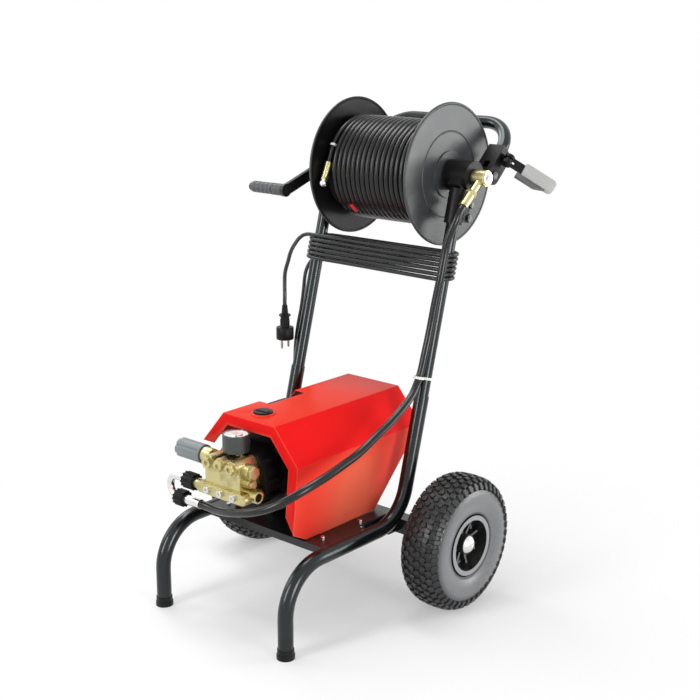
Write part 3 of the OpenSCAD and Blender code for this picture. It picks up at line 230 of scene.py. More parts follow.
FLOAT = "NodeSocketFloat"
VECTOR = "NodeSocketVector"
EDGE_TURN = (0.03, 0.22)
EDGE_PATCH = (0.42, 0.62)
TONE_SPAN = (0.3, 0.7)
LYING_SLOPE = (0.35, 1.0, 0.0, 0.6)
DUSTY_HEIGHT = (0.16, 0.0)
DUST_WAVES, DUST_PATCH = 34.0, (0.4, 0.75)
SCUFF_RUNS = (((0.3, 0.2, 0.7), (1.0, 0.04, 1.0)), ((1.1, 0.5, -0.4), (0.05, 1.0, 1.0)))
SCUFF_CREST = (0.66, 0.74)
SCUFF_WAVES, SCUFF_PATCH = 7.0, (0.45, 0.6)


def draw_soft_edge(graph: Graph, given: Sockets) -> Sockets:
    """Normals that run round an edge over a small radius."""
    return {"Normal": graph.rounded_normal(given["Radius"])}


def draw_edge_rub_and_glint(graph: Graph, given: Sockets) -> Sockets:
    """Mask of edges, broken up by noise: rubbed wear on most finishes, a painted highlight along the red cover's
    folds.

    Args:
        graph: the group's graph.
        given: the input sockets.

    Returns:
        The output sockets.
    """
    normals = {0: graph.rounded_normal(given["Radius"]), 1: graph.normal()}
    turn = graph.add("VectorMath", normals, operation="DOT_PRODUCT").outputs["Value"]
    edge = graph.span(graph.calc("SUBTRACT", 1.0, turn), *EDGE_TURN)
    patch = graph.span(graph.noise(given["Breakup"], 5.0), *EDGE_PATCH)
    return {"Mask": graph.calc("MULTIPLY", edge, graph.calc("MAXIMUM", patch, given["Even"]), clamp=True)}


def draw_surface_grain(graph: Graph, given: Sockets) -> Sockets:
    """Fine height and broad tone of a coated, moulded or cast surface."""
    tone = graph.span(graph.noise(given["Broad"], 4.0), *TONE_SPAN)
    return {"Height": graph.noise(given["Fine"], 2.0), "Tone": tone}


def draw_settled_dust(graph: Graph, given: Sockets) -> Sockets:
    """Mask of the thin dust that lies on faces turned up and on what is near the ground.

    Args:
        graph: the group's graph.
        given: the input sockets.

    Returns:
        The output sockets.
    """
    lying = graph.span(graph.part(graph.normal(), "Z"), *LYING_SLOPE)
    low = graph.span(graph.part(graph.place(), "Z"), *DUSTY_HEIGHT)
    patch = graph.span(graph.noise(DUST_WAVES, 6.0), *DUST_PATCH)
    both = graph.calc("MULTIPLY", graph.calc("ADD", lying, low), patch)
    return {"Mask": graph.calc("MULTIPLY", both, given["Amount"], clamp=True)}


def draw_fine_scuffs(graph: Graph, given: Sockets) -> Sockets:
    """Mask of hair-thin rub marks that run along two directions.

    Args:
        graph: the group's graph.
        given: the input sockets.

    Returns:
        The output sockets.
    """
    crests = []
    for turn, stretch in SCUFF_RUNS:
        run = graph.mapped(graph.place(), Rotation=turn, Scale=stretch)
        crests.append(graph.span(graph.noise(given["Scale"], 2.0, run), *SCUFF_CREST))
    patch = graph.span(graph.noise(SCUFF_WAVES, 3.0), *SCUFF_PATCH)
    return {"Mask": graph.calc("MULTIPLY", graph.calc("MAXIMUM", *crests), patch, clamp=True)}


SOFT_EDGE = Effect("soft_edge", draw_soft_edge, {"Radius": 0.001}, {"Normal": VECTOR})
EDGE_RUB_AND_GLINT = Effect("edge_rub_and_glint", draw_edge_rub_and_glint, {"Radius": 0.001, "Breakup": 60.0, "Even": 0.0}, {"Mask": FLOAT})
SURFACE_GRAIN = Effect(
    "surface_grain", draw_surface_grain, {"Fine": 900.0, "Broad": 9.0}, {"Height": FLOAT, "Tone": FLOAT}
)
SETTLED_DUST = Effect("settled_dust", draw_settled_dust, {"Amount": 0.2}, {"Mask": FLOAT})
FINE_SCUFFS = Effect("fine_scuffs", draw_fine_scuffs, {"Scale": 420.0}, {"Mask": FLOAT})


# Finishes

DUST: Colour = (0.42, 0.39, 0.34)
AXLE = (0.0372557, 0.13)
WHEEL_X = 0.254


def wheel_reach(graph: Graph) -> Socket:
    """Distance from the wheels' axle."""
    flat = graph.mapped(graph.place(), Location=(0.0, -AXLE[0], -AXLE[1]), Scale=(0.0, 1.0, 1.0))
    return graph.length(flat)


class Surface(Graph):
    """A material's graph with its shader, its grain, and the masks of dust and of edges, which are rubbed wear on
    most finishes and a painted highlight along the red cover's folds.
    """

    def __init__(self, tree: Tree, finish: "Finish") -> None:
        """Adds what every finish is drawn from.

        Args:
            tree: the material's tree.
            finish: the finish to draw.
        """
        super().__init__(tree)
        constants = {"Specular IOR Level": finish.specular, "Specular Tint": finish.tint, **finish.FIXED}
        self.shader = self.add("BsdfPrincipled", constants)
        grain = self.group(SURFACE_GRAIN, Fine=finish.fine, Broad=finish.broad)
        self.tone, self.grain = grain.outputs["Tone"], grain.outputs["Height"]
        self.dust: Socket | float = 0.0
        self.rub_and_glint_mask: Socket | float = 0.0
        if finish.dust:
            self.dust = self.group(SETTLED_DUST, Amount=finish.dust).outputs[0]
        # Edge mask: rubbed wear on most finishes, a painted highlight along the red cover's folds
        if finish.breakup:
            edges = self.group(EDGE_RUB_AND_GLINT, Radius=finish.edge, Breakup=finish.breakup, Even=finish.even)
            self.rub_and_glint_mask = self.calc("MULTIPLY", edges.outputs[0], finish.rub_and_glint_share)


@dataclass(frozen=True)
class Finish:
    """A surface with a grain, and with wear and dust where a kind of finish has them; the red cover's edges carry
    a painted highlight instead of wear.

    Its colour is in linear values. Tones and spread are shares of the colour and of the roughness, fine,
    broad, breakup and scuffs are waves per metre, and relief over depth is the height of the grain.
    """

    FIXED: ClassVar[dict[str, float]] = {}
    name: str
    colour: Colour
    roughness: float
    specular: float = 0.5
    tint: Colour = WHITE
    fine: float = 900.0
    broad: float = 9.0
    tones: Span = (1.0, 1.0)
    spread: Span = (0.85, 1.15)
    relief: float = 0.1
    depth: float = 0.0005
    dust: float = 0.0
    edge: float = 0.0
    breakup: float = 0.0
    even: float = 0.0
    rub_and_glint_share: float = 1.0
    scuffs: float = 300.0
    scuff_share: float = 0.12

    def material(self) -> bpy.types.Material:
        """The finish as a material, built once.

        Returns:
            The material.
        """
        made = bpy.data.materials.get(self.name)
        if made is None:
            made = bpy.data.materials.new(self.name)
            made.use_nodes = True
            self.dress(Surface(made.node_tree, self))
        return made

    def dress(self, graph: Surface) -> None:
        """Sets the shader's colour, roughness and normal, and joins it to the output.

        Args:
            graph: the material's graph.
        """
        colour = self.skin(graph)
        if self.dust:
            colour = graph.blend(graph.dust, colour, DUST)
        rough = graph.span(graph.tone, 0.0, 1.0, *(self.roughness * share for share in self.spread))
        bump = {"Height": self.height(graph), "Strength": self.relief, "Distance": self.depth}
        if self.edge:
            bump["Normal"] = graph.group(SOFT_EDGE, Radius=self.edge).outputs[0]
        graph.feed(graph.shader.inputs["Base Color"], self.marked(graph, colour))
        graph.feed(graph.shader.inputs["Roughness"], self.dulled(graph, rough))
        graph.feed(graph.shader.inputs["Normal"], graph.add("Bump", bump).outputs[0])
        graph.add("OutputMaterial", {"Surface": self.surface(graph)})

    def surface(self, graph: Surface) -> Socket:
        """The socket that goes to the material's output."""
        return graph.shader.outputs[0]

    def coat(self, graph: Surface) -> Socket:
        """The colour before wear."""
        return graph.blend(graph.tone, *(self.shade(share) for share in self.tones))

    def skin(self, graph: Surface) -> Socket:
        """The colour under the dust."""
        return self.coat(graph)

    def marked(self, graph: Surface, colour: Socket) -> Socket:
        """The colour with what lies over the dust."""
        return colour

    def dulled(self, graph: Surface, rough: Socket) -> Socket:
        """The roughness with the traces of use."""
        return rough

    def scuffed(self, graph: Surface, rough: Socket) -> Socket:
        """The roughness with fine rub marks."""
        scuff = graph.group(FINE_SCUFFS, Scale=self.scuffs).outputs[0]
        return graph.calc("ADD", rough, graph.calc("MULTIPLY", scuff, self.scuff_share), clamp=True)

    def height(self, graph: Surface) -> Socket:
        """The height of the surface's relief."""
        return graph.grain

    def shade(self, share: float, lift: float = 0.0) -> Colour:
        """The colour made lighter or darker."""
        return tuple(min(1.0, part * share + lift) for part in self.colour)


@dataclass(frozen=True)
class Paint(Finish):
    """Powder coat or stoved paint on metal."""

    fine: float = 700.0
    broad: float = 6.0
    tones: Span = (0.93, 1.05)
    spread: Span = (0.85, 1.2)
    relief: float = 0.06
    depth: float = 0.0006
    dust: float = 0.12
    edge: float = 0.0012
    breakup: float = 70.0
    rub_and_glint_share: float = 0.25
    # Colour of the marked edges: bare metal on most paints, a painted highlight on the red cover
    rub_and_glint_colour: Colour = (0.3, 0.3, 0.31)
    dust_share: float = 0.5

    def skin(self, graph: Surface) -> Socket:
        """Coat with its edge colour: rubbed edges on most paints, a painted highlight along the red cover's
        folds.
        """
        return graph.blend(graph.rub_and_glint_mask, self.coat(graph), self.rub_and_glint_colour)

    def dulled(self, graph: Surface, rough: Socket) -> Socket:
        """Gloss under dust and rub marks."""
        dusty = graph.calc("ADD", rough, graph.calc("MULTIPLY", graph.dust, self.dust_share))
        return self.scuffed(graph, dusty)


@dataclass(frozen=True)
class Enamel(Paint):
    """Glossy paint with a painted highlight where it faces up and a painted reflection of the floor in broad
    bands where it leans out.
    """

    # Colours of the painted highlight on top faces and of the painted floor reflection on faces that lean out,
    # and their share
    painted_top_highlight: Colour = (0.83, 0.065, 0.022)
    painted_floor_reflection: Colour = (0.8, 0.235, 0.12)
    painted_light_share: float = 0.5
    up_slope: Span = (0.88, 1.0)
    out_slope: Span = (-0.02, -0.12)
    band_waves: float = 6.0
    band_stretch: Triple = (0.0, 1.0, 0.2)
    band_span: tuple[float, ...] = (0.4, 0.6, 0.3, 1.0)

    def coat(self, graph: Surface) -> Socket:
        """Paint with its painted highlight on upward faces and its painted floor reflection on faces that lean
        out.

        Args:
            graph: the material's graph.

        Returns:
            The colour's socket.
        """
        slope = graph.part(graph.normal(), "Z")
        # Painted highlight: paler, more orange colour on faces that turn up
        top = graph.span(slope, *self.up_slope, 0.0, self.painted_light_share)
        run = graph.mapped(graph.place(), Scale=self.band_stretch)
        band = graph.span(graph.noise(self.band_waves, 0.0, run), *self.band_span)
        # Painted reflection of the floor: broad paler bands on faces that lean out and down
        under = graph.calc("MULTIPLY", graph.span(slope, *self.out_slope, 0.0, self.painted_light_share), band)
        return graph.blend(under, graph.blend(top, super().coat(graph), self.painted_top_highlight), self.painted_floor_reflection)


@dataclass(frozen=True)
class ReelPaint(Paint):
    """Paint of the reel, with painted shade on its inner faces: darker and mirroring less where they face the
    middle of the reel.
    """

    # Colour of the painted shade on the faces that turn to the middle of the reel
    painted_inner_shade: Colour = (0.004, 0.004, 0.004)
    inward: Span = (-0.5, -0.8)
    mirror_share: float = 0.4

    def marked(self, graph: Surface, colour: Socket) -> Socket:
        """Painted shade: colour that darkens and mirrors less where it faces the middle of the reel.

        Args:
            graph: the material's graph.
            colour: the colour so far.

        Returns:
            The colour's socket.
        """
        # Painted shade: inner faces get a darker colour and a weaker mirror
        side = graph.calc("SIGN", graph.part(graph.place(), "X"))
        inner = graph.span(graph.calc("MULTIPLY", graph.part(graph.normal(), "X"), side), *self.inward)
        dim = graph.span(inner, 0.0, 1.0, self.specular, self.specular * self.mirror_share)
        graph.feed(graph.shader.inputs["Specular IOR Level"], dim)
        return graph.blend(inner, colour, self.painted_inner_shade)


@dataclass(frozen=True)
class Plastic(Finish):
    """Moulded plastic with an eroded tool texture, paler and smoother where hands rub the edges."""

    fine: float = 1500.0
    broad: float = 14.0
    tones: Span = (0.9, 1.08)
    spread: Span = (0.88, 1.12)
    relief: float = 0.18
    depth: float = 0.0004
    dust: float = 0.12
    edge: float = 0.0008
    breakup: float = 120.0
    rub_and_glint_share: float = 0.25
    pale: Span = (1.6, 0.05)
    polish: float = 0.3

    def skin(self, graph: Surface) -> Socket:
        """Grained colour with pale edges."""
        return graph.blend(graph.rub_and_glint_mask, self.coat(graph), self.shade(*self.pale))

    def dulled(self, graph: Surface, rough: Socket) -> Socket:
        """Grain polished at its edges."""
        return graph.calc("SUBTRACT", rough, graph.calc("MULTIPLY", graph.rub_and_glint_mask, self.polish), clamp=True)


@dataclass(frozen=True)
class Rim(Plastic):
    """Black moulded wheel centre with paler spokes and a pale lip, painted highlights where they face out."""

    # Painted highlight colours of the lip and of the spokes' faces
    lip: Colour = (0.27, 0.275, 0.28)
    lip_from: Span = (0.0445, 0.0455)
    spoke: Colour = (0.16, 0.165, 0.17)
    spoke_face: float = 0.015
    spoke_span: Span = (0.0015, 0.001)
    outward: Span = (0.3, 0.6)

    def marked(self, graph: Surface, colour: Socket) -> Socket:
        """Painted highlight: colour that steps up on the spokes' faces and outside them.

        Args:
            graph: the material's graph.
            colour: the colour so far.

        Returns:
            The colour's socket.
        """
        facing = graph.span(graph.calc("ABSOLUTE", graph.part(graph.normal(), "X")), *self.outward)
        off = graph.part(graph.place(), "X")
        for face in (WHEEL_X, self.spoke_face):
            off = graph.calc("ABSOLUTE", graph.calc("SUBTRACT", graph.calc("ABSOLUTE", off), face))
        spokes = graph.calc("MULTIPLY", graph.span(off, *self.spoke_span), facing)
        ring = graph.calc("MULTIPLY", graph.span(wheel_reach(graph), *self.lip_from), facing)
        return graph.blend(ring, graph.blend(spokes, colour, self.spoke), self.lip)


@dataclass(frozen=True)
class Rubber(Finish):
    """Black rubber with a grey bloom in patches and dust in its skin."""

    fine: float = 1100.0
    broad: float = 16.0
    relief: float = 0.25
    dust: float = 0.35
    edge: float = 0.0008
    bloom: float = 0.25
    grey: Span = (2.0, 0.03)

    def coat(self, graph: Surface) -> Socket:
        """Rubber with its bloom."""
        return graph.blend(graph.calc("MULTIPLY", graph.tone, self.bloom), self.colour, self.shade(*self.grey))


@dataclass(frozen=True)
class SideWall(Rubber):
    """Tyre's wall, paler between its shoulder and its bead."""

    shoulder: Span = (0.096, 0.108)
    bead: Span = (0.066, 0.0625)
    # Darker tone: painted shade at the shoulder and the bead, and the tread's own black
    dark: Colour = (0.018, 0.019, 0.02)

    def marked(self, graph: Surface, colour: Socket) -> Socket:
        """Rubber that darkens towards the tread and the rim: painted shade at the shoulder and where the wall
        meets the rim, blending into the tread's own black.
        """
        ends = (graph.span(wheel_reach(graph), *end) for end in (self.shoulder, self.bead))
        return graph.blend(graph.calc("MAXIMUM", *ends), colour, self.dark)


@dataclass(frozen=True)
class Jacket(Finish):
    """Rubber skin of a hose or cable, with the fine marks of its cloth wrap along the run."""

    fine: float = 1300.0
    broad: float = 24.0
    tones: Span = (0.85, 1.35)
    relief: float = 0.12
    depth: float = 0.0004
    dust: float = 0.03
    length: float = 1.0
    diameter: float = 0.01
    wrap_lean: float = 0.6
    wrap_waves: float = 9.0
    wrap_bend: float = 0.4
    wrap_share: float = 0.6

    def height(self, graph: Surface) -> Socket:
        """Crossed wrap print over the grain.

        Args:
            graph: the material's graph.

        Returns:
            The height's socket.
        """
        around = math.pi * self.diameter
        run = graph.mapped(graph.add("TexCoord").outputs["UV"], Scale=(self.length / around, 1.0, 1.0))
        waves = []
        for lean in (self.wrap_lean, -self.wrap_lean):
            leant = graph.mapped(run, Rotation=(0.0, 0.0, lean))
            shape = {"Vector": leant, "Scale": self.wrap_waves, "Distortion": self.wrap_bend}
            waves.append(graph.add("TexWave", shape).outputs[1])
        wrap = graph.calc("MULTIPLY", graph.calc("MAXIMUM", *waves), self.wrap_share)
        return graph.calc("ADD", wrap, graph.calc("MULTIPLY", graph.grain, 1 - self.wrap_share))


@dataclass(frozen=True)
class Metal(Finish):
    """Bare, plated or cast metal with a duller, darker skin away from the edges that handling rubs bright."""

    FIXED = {"Metallic": 1.0}
    fine: float = 500.0
    broad: float = 55.0
    spread: Span = (0.8, 1.3)
    relief: float = 0.08
    edge: float = 0.0007
    breakup: float = 200.0
    scuffs: float = 900.0
    scuff_share: float = 0.15
    tarnish: Colour = (0.3, 0.22, 0.08)
    spots: float = 0.3
    spot_tone: Span = (0.45, 1.0)
    bright: float = 1.15

    def skin(self, graph: Surface) -> Socket:
        """Tarnished metal with bright edges.

        Args:
            graph: the material's graph.

        Returns:
            The colour's socket.
        """
        dull = graph.calc("MULTIPLY", graph.span(graph.tone, *self.spot_tone), self.spots)
        dull = graph.calc("MULTIPLY", graph.calc("SUBTRACT", 1.0, graph.rub_and_glint_mask, clamp=True), dull)
        return graph.blend(graph.rub_and_glint_mask, graph.blend(dull, self.colour, self.tarnish), self.shade(self.bright))

    def dulled(self, graph: Surface, rough: Socket) -> Socket:
        """Polish with rub marks."""
        return self.scuffed(graph, rough)


@dataclass(frozen=True)
class Clear(Finish):
    """Clear moulded lens with a faintly waved surface."""

    FIXED = {"Transmission Weight": 1.0, "IOR": 1.45}
    fine: float = 120.0
    broad: float = 40.0
    spread: Span = (1.0, 2.0)
    relief: float = 0.03
    depth: float = 0.0002

    def surface(self, graph: Surface) -> Socket:
        """Lets the lamps' light through to what lies behind."""
        shadow = graph.add("LightPath").outputs["Is Shadow Ray"]
        return graph.layer(shadow, graph.shader, graph.add("BsdfTransparent"))


# Red cover: the pale orange edge colour along its rounded folds, kept unbroken by even, is a painted highlight
RED_COVER = Enamel(
    "red_stove_enamel", (0.8, 0.0125, 0.0135), 0.33, 0.045, (1.0, 0.6, 0.25),
    rub_and_glint_colour=(0.95, 0.42, 0.26), rub_and_glint_share=0.9, relief=0.03, fine=260.0, dust=0.0, edge=0.003, even=0.75,
)
SLOT_FINISHES: dict[str, Finish] = {
    "black_tube": Paint(
        "gloss_black_tube", (0.003, 0.0036, 0.004), 0.19, 0.5, (0.9, 0.98, 1.0),
        rub_and_glint_share=0.1, relief=0.015, dust=0.02, edge=0.001,
    ),
    "black_sheet": Paint("satin_black_sheet", (0.009, 0.0095, 0.01), 0.3, 0.45, dust=0.05),
    "cast_black": Paint(
        "black_cast_iron", (0.005, 0.005, 0.0054), 0.37, 0.2,
        rub_and_glint_colour=(0.06, 0.06, 0.062), rub_and_glint_share=0.3, relief=0.35, fine=420.0, dust=0.03,
    ),
    "red_cover": RED_COVER,
    "black_plastic": Plastic("black_moulding", (0.007, 0.0075, 0.008), 0.4, 0.16, dust=0.05),
    "bush_plastic": Plastic("bush_moulding", (0.72, 0.7, 0.65), 0.45),
    "rubber": Rubber("black_rubber", (0.01, 0.0105, 0.011), 0.5, 0.35),
    "tyre": Rubber("tread_rubber", (0.006, 0.0066, 0.007), 0.36, 0.45, bloom=0.2, dust=0.05),
    "rim_plastic": Rim("rim_moulding", (0.012, 0.0125, 0.013), 0.36, 0.4),
    "steel": Metal("zinc_plated_steel", (0.72, 0.73, 0.74), 0.26, tarnish=(0.5, 0.5, 0.49), spots=0.2),
    "nickel": Metal("bright_nickel", (0.8, 0.79, 0.77), 0.2, tarnish=(0.55, 0.53, 0.5), spots=0.2, relief=0.03),
    "brass": Metal("cast_brass", (0.62, 0.55, 0.28), 0.28, tarnish=(0.28, 0.24, 0.085), spots=0.6, relief=0.16),
    "reel_grey": ReelPaint(
        "satin_grey_reel", (0.045, 0.048, 0.05), 0.34, 0.45,
        rub_and_glint_colour=(0.4, 0.4, 0.4), rub_and_glint_share=0.3, relief=0.05, dust=0.03,
    ),
    "grip_grey": Plastic("ribbed_grey_grip", (0.075, 0.083, 0.087), 0.45, relief=0.3),
    "lever_grey": Plastic("pale_grey_grip", (0.42, 0.42, 0.415), 0.45, relief=0.2),
    "lens": Clear("dial_lens", (0.96, 0.98, 1.0), 0.03, 0.15),
    "needle_red": Plastic("dark_pointer", (0.02, 0.02, 0.022), 0.4),
}
SIDEWALL = SideWall("sidewall_rubber", (0.13, 0.133, 0.138), 0.3, 0.9, bloom=0.12, relief=0.08, dust=0.04)
NYLON_WHITE = Plastic("white_nylon", (0.8, 0.79, 0.75), 0.4, relief=0.1)
DIAL_WHITE = Plastic("dial_enamel", (0.83, 0.84, 0.82), 0.45, relief=0.05, dust=0.0)
DIAL_INK = Plastic("dial_ink", (0.02, 0.02, 0.022), 0.5, relief=0.05, dust=0.0)
KNOB_GREY = Plastic("grey_knob", (0.19, 0.21, 0.225), 0.45, relief=0.15)
FOOT_BLACK = Plastic("foot_moulding", (0.007, 0.0075, 0.008), 0.36, 0.2, dust=0.03)
PIN_STEEL = Metal("plug_pin_steel", (0.42, 0.42, 0.41), 0.42, tarnish=(0.28, 0.28, 0.27))
BLACK_ZINC = Metal("black_zinc", (0.1, 0.1, 0.102), 0.3, tarnish=(0.04, 0.04, 0.04), spots=0.4)
LEVER_WEB = Plastic("lever_web", (0.12, 0.12, 0.122), 0.42, 0.4, relief=0.1)
GAUGE_BLACK = Plastic("glossy_gauge_case", (0.03, 0.032, 0.034), 0.24, 0.7, relief=0.04)
MARKER_RED = Plastic("red_marker_sleeve", (0.6, 0.02, 0.025), 0.4)
NODE_FINISHES: dict[str, Finish] = {
    "hose_tie": NYLON_WHITE,
    "regulator_knob": KNOB_GREY,
    "gauge_case": GAUGE_BLACK,
    "foot_caps": FOOT_BLACK,
    "bracket_bolts": BLACK_ZINC,
    "handle_pivots": BLACK_ZINC,
    "switch_body": RED_COVER,
}


# Mesh helpers

WELD = 1e-6
SOLID_WELD = 2e-6
FLAT_TURN = 0.3


def move(mesh: Mesh, place: Matrix) -> None:
    """Moves a whole mesh."""
    bmesh.ops.transform(mesh, matrix=place, verts=mesh.verts)


def whole(mesh: Mesh) -> list[Corner | Edge | Face]:
    """All corners, edges and faces of a mesh."""
    return mesh.verts[:] + mesh.edges[:] + mesh.faces[:]


def turned(profile: Profile, centre: Vector, axis: Axis, steps: int = 48) -> Mesh:
    """A shape of revolution.

    Args:
        profile: (distance along the axis, radius) pairs in millimetres.
        centre: the axis's zero point.
        axis: the axis's direction.
        steps: facets round the axis.

    Returns:
        The closed mesh.
    """
    mesh = bmesh.new()
    along = axis.vector
    out = along.orthogonal().normalized()
    corners = [mesh.verts.new(centre + along * (run * MM) + out * (radius * MM)) for run, radius in profile]
    edges = [mesh.edges.new(pair) for pair in zip(corners, corners[1:])]
    bmesh.ops.spin(
        mesh, geom=corners + edges, cent=centre, axis=along, angle=FULL_TURN, steps=steps, use_merge=True
    )
    bmesh.ops.remove_doubles(mesh, verts=mesh.verts, dist=WELD)
    bmesh.ops.recalc_face_normals(mesh, faces=mesh.faces)
    return mesh


def mirrored(profile: Profile) -> list[Span]:
    """A profile turned round, on the other side of its zero point."""
    return [(-run, radius) for run, radius in reversed(profile)]


def bevel(mesh: Mesh, edges: list[Edge], width: float, segments: int, clamp: bool = False) -> None:
    """Rounds edges over a width in metres, held off from their neighbours if clamped."""
    bmesh.ops.bevel(
        mesh, geom=edges, offset=width, offset_type="OFFSET", segments=segments, profile=0.5,
        affect="EDGES", clamp_overlap=clamp, material=-1,
    )


def block(size: Triple, width: float = 0.0, segments: int = 1) -> Mesh:
    """A bar centred on the origin.

    Args:
        size: its three sides in millimetres.
        width: its edges' radius in metres, 0 where they stay sharp.
        segments: facets round an edge.

    Returns:
        The mesh.
    """
    mesh = bmesh.new()
    bmesh.ops.create_cube(mesh, size=1.0)
    bmesh.ops.scale(mesh, vec=at(*size), verts=mesh.verts)
    if width:
        bevel(mesh, mesh.edges[:], width, segments)
    return mesh


def add_to(mesh: Mesh, other: Mesh, place: Matrix | None = None) -> None:
    """Puts one mesh into another and frees it.

    Args:
        mesh: the mesh that grows.
        other: the mesh to add.
        place: where it goes.
    """
    if place is not None:
        move(other, place)
    carrier = bpy.data.meshes.new("carrier")
    other.to_mesh(carrier)
    other.free()
    mesh.from_mesh(carrier)
    bpy.data.meshes.remove(carrier)


def frame_along(place: Vector, along: Vector) -> Matrix:
    """A frame at a point with its z along one direction and its x to the part's right.

    Args:
        place: the frame's origin.
        along: direction of z.

    Returns:
        The frame as a matrix.
    """
    z = along.normalized()
    y = z.cross(Axis.X.vector).normalized()
    return shift(place) @ Matrix((y.cross(z), y, z)).transposed().to_4x4()


def in_scene(name: str, data: bpy.types.ID) -> Piece:
    """Puts new data into the scene as an object.

    Args:
        name: the object's name.
        data: its mesh, curve, camera or lamp.

    Returns:
        The object.
    """
    piece = bpy.data.objects.new(name, data)
    bpy.context.scene.collection.objects.link(piece)
    return piece


def set_piece(
    name: str,
    mesh: Mesh,
    body: str,
    slot: str | None = None,
    finish: Finish | None = None,
    stands_for: Iterable[str] = (),
    smooth: float = 40.0,
) -> Piece:
    """Makes a mesh a piece of the object.

    Args:
        name: the piece's name.
        mesh: its mesh in the part's frame, freed here.
        body: the CAD body that it moves with.
        slot: the record's material slot that its finish comes from.
        finish: its surface, where that isn't the slot's own.
        stands_for: the CAD nodes that it replaces.
        smooth: edges that turn by less than this, in degrees, shade smooth.

    Returns:
        The piece.
    """
    data = bpy.data.meshes.new(name)
    mesh.to_mesh(data)
    mesh.free()
    data.shade_smooth()
    data.set_sharp_from_angle(angle=math.radians(smooth))
    data.materials.append((finish or SLOT_FINISHES[slot]).material())
    piece = in_scene(name, data)
    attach(piece, body)
    if stands_for:
        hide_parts(*stands_for)
    LOG.info("%s: %d faces, rides on %s", name, len(data.polygons), body)
    return piece


def eased_copy(node: str, width: float, least_turn: float, segments: int) -> Mesh:
    """A copy of a solid with its sharp outer edges rounded.

    Args:
        node: the CAD node.
        width: the edges' radius in metres.
        least_turn: edges that turn by more than this, in degrees, are rounded.
        segments: facets round an edge.

    Returns:
        The new mesh.
    """
    mesh = bmesh.new()
    mesh.from_mesh(frame["nodes"][node].data)
    bmesh.ops.remove_doubles(mesh, verts=mesh.verts, dist=SOLID_WELD)
    bmesh.ops.dissolve_limit(mesh, angle_limit=math.radians(FLAT_TURN), verts=mesh.verts, edges=mesh.edges)
    least = math.radians(least_turn)
    sharp = [e for e in mesh.edges if e.is_manifold and e.is_convex and e.calc_face_angle() > least]
    bevel(mesh, sharp, width, segments, clamp=True)
    return mesh


# Studio


def aimed(place: Vector, target: Vector) -> Matrix:
    """The place of a camera or lamp that points at a target."""
    return shift(place) @ (target - place).to_track_quat("-Z", "Y").to_matrix().to_4x4()


# Place and two sides of each lamp in metres, and its power in watts
SOFTBOXES = {
    "front_softbox": ((-0.5, -2.8, 1.5), (0.7, 1.6), 34.0),
    "overhead_softbox": ((-0.5, 0.2, 3.0), (0.8, 2.0), 28.0),
    "right_softbox": ((2.1, 2.3, 0.75), (1.3, 1.3), 32.0),
    "key_softbox": ((2.8, -0.6, 0.65), (0.8, 1.2), 32.0),
    "left_softbox": ((-2.3, -1.2, 1.7), (0.6, 1.4), 10.0),
    "rear_softbox": ((-2.4, 0.5, 2.3), (0.9, 1.3), 20.0),
}


@dataclass
class Studio:
    """Camera, lamps, floor and white surroundings."""

    camera_place: Vector
    camera_target: Vector
    focal_px: float = 1285.47
    frame_px: float = 700.0
    sensor: float = 36.0
    roll: float = 0.18
    lit_height: float = 0.4
    fill: float = 0.42
    floor_reach: float = 6.0
    floor_tones: tuple[Colour, Colour] = ((0.93, 0.93, 0.93), (0.96, 0.96, 0.96))
    floor_fade: tuple[float, ...] = (0.25, 0.95, 0.3, 1.0)

    def build(self) -> None:
        """Sets the stage and the view."""
        scene = bpy.context.scene
        scene.view_settings.view_transform = "Standard"
        data = bpy.data.cameras.new("camera")
        data.sensor_width = self.sensor
        data.lens = self.focal_px / self.frame_px * self.sensor
        data.clip_end = 50.0
        scene.camera = in_scene("camera", data)
        view = aimed(self.camera_place, self.camera_target)
        scene.camera.matrix_world = view @ rotated("Z", self.roll)
        for name, (place, size, watts) in SOFTBOXES.items():
            lamp = bpy.data.lights.new(name, "AREA")
            lamp.shape = "RECTANGLE"
            lamp.size, lamp.size_y = size
            lamp.energy = watts
            in_scene(name, lamp).matrix_world = aimed(Vector(place), Vector((0.0, 0.0, self.lit_height)))
        self.surroundings()
        self.floor()

    @staticmethod
    def seen(graph: Graph) -> Socket:
        """Share 1 for rays from the camera, mirrors and glass.

        Args:
            graph: the graph of the floor or the world.

        Returns:
            The share's socket.
        """
        path = graph.add("LightPath").outputs
        mirror = graph.calc("MAXIMUM", path["Is Glossy Ray"], path["Is Transmission Ray"])
        return graph.calc("MAXIMUM", path["Is Camera Ray"], mirror)

    def surroundings(self) -> None:
        """White seen background and a plain fill light."""
        world = bpy.data.worlds.new("studio")
        world.use_nodes = True
        bpy.context.scene.world = world
        graph = Graph(world.node_tree)
        fill, white = (graph.add("Background", {"Color": WHITE, "Strength": level}) for level in (self.fill, 1.0))
        graph.add("OutputWorld", {"Surface": graph.layer(self.seen(graph), fill, white)})

    def floor(self) -> None:
        """Pale floor that fades to white away from the object."""
        mesh = bmesh.new()
        bmesh.ops.create_grid(mesh, x_segments=1, y_segments=1, size=self.floor_reach)
        data = bpy.data.meshes.new("floor")
        mesh.to_mesh(data)
        mesh.free()
        in_scene("floor", data)
        material = bpy.data.materials.new("studio_floor")
        material.use_nodes = True
        graph = Graph(material.node_tree)
        matt = graph.add("BsdfDiffuse", {"Color": graph.blend(graph.noise(3.0, 2.0), *self.floor_tones)})
        white = graph.add("Emission", {"Color": WHITE, "Strength": 1.0})
        far = graph.span(graph.length(graph.place()), *self.floor_fade)
        share = graph.calc("MULTIPLY", far, self.seen(graph))
        graph.add("OutputMaterial", {"Surface": graph.layer(share, matt, white)})
        data.materials.append(material)


# Cords


class FarEnd(StrEnum):
    """What a cord's far end is fixed to or carries."""

    OBJECT = "object"
    PLUG = "plug"
    TOOL = "tool"


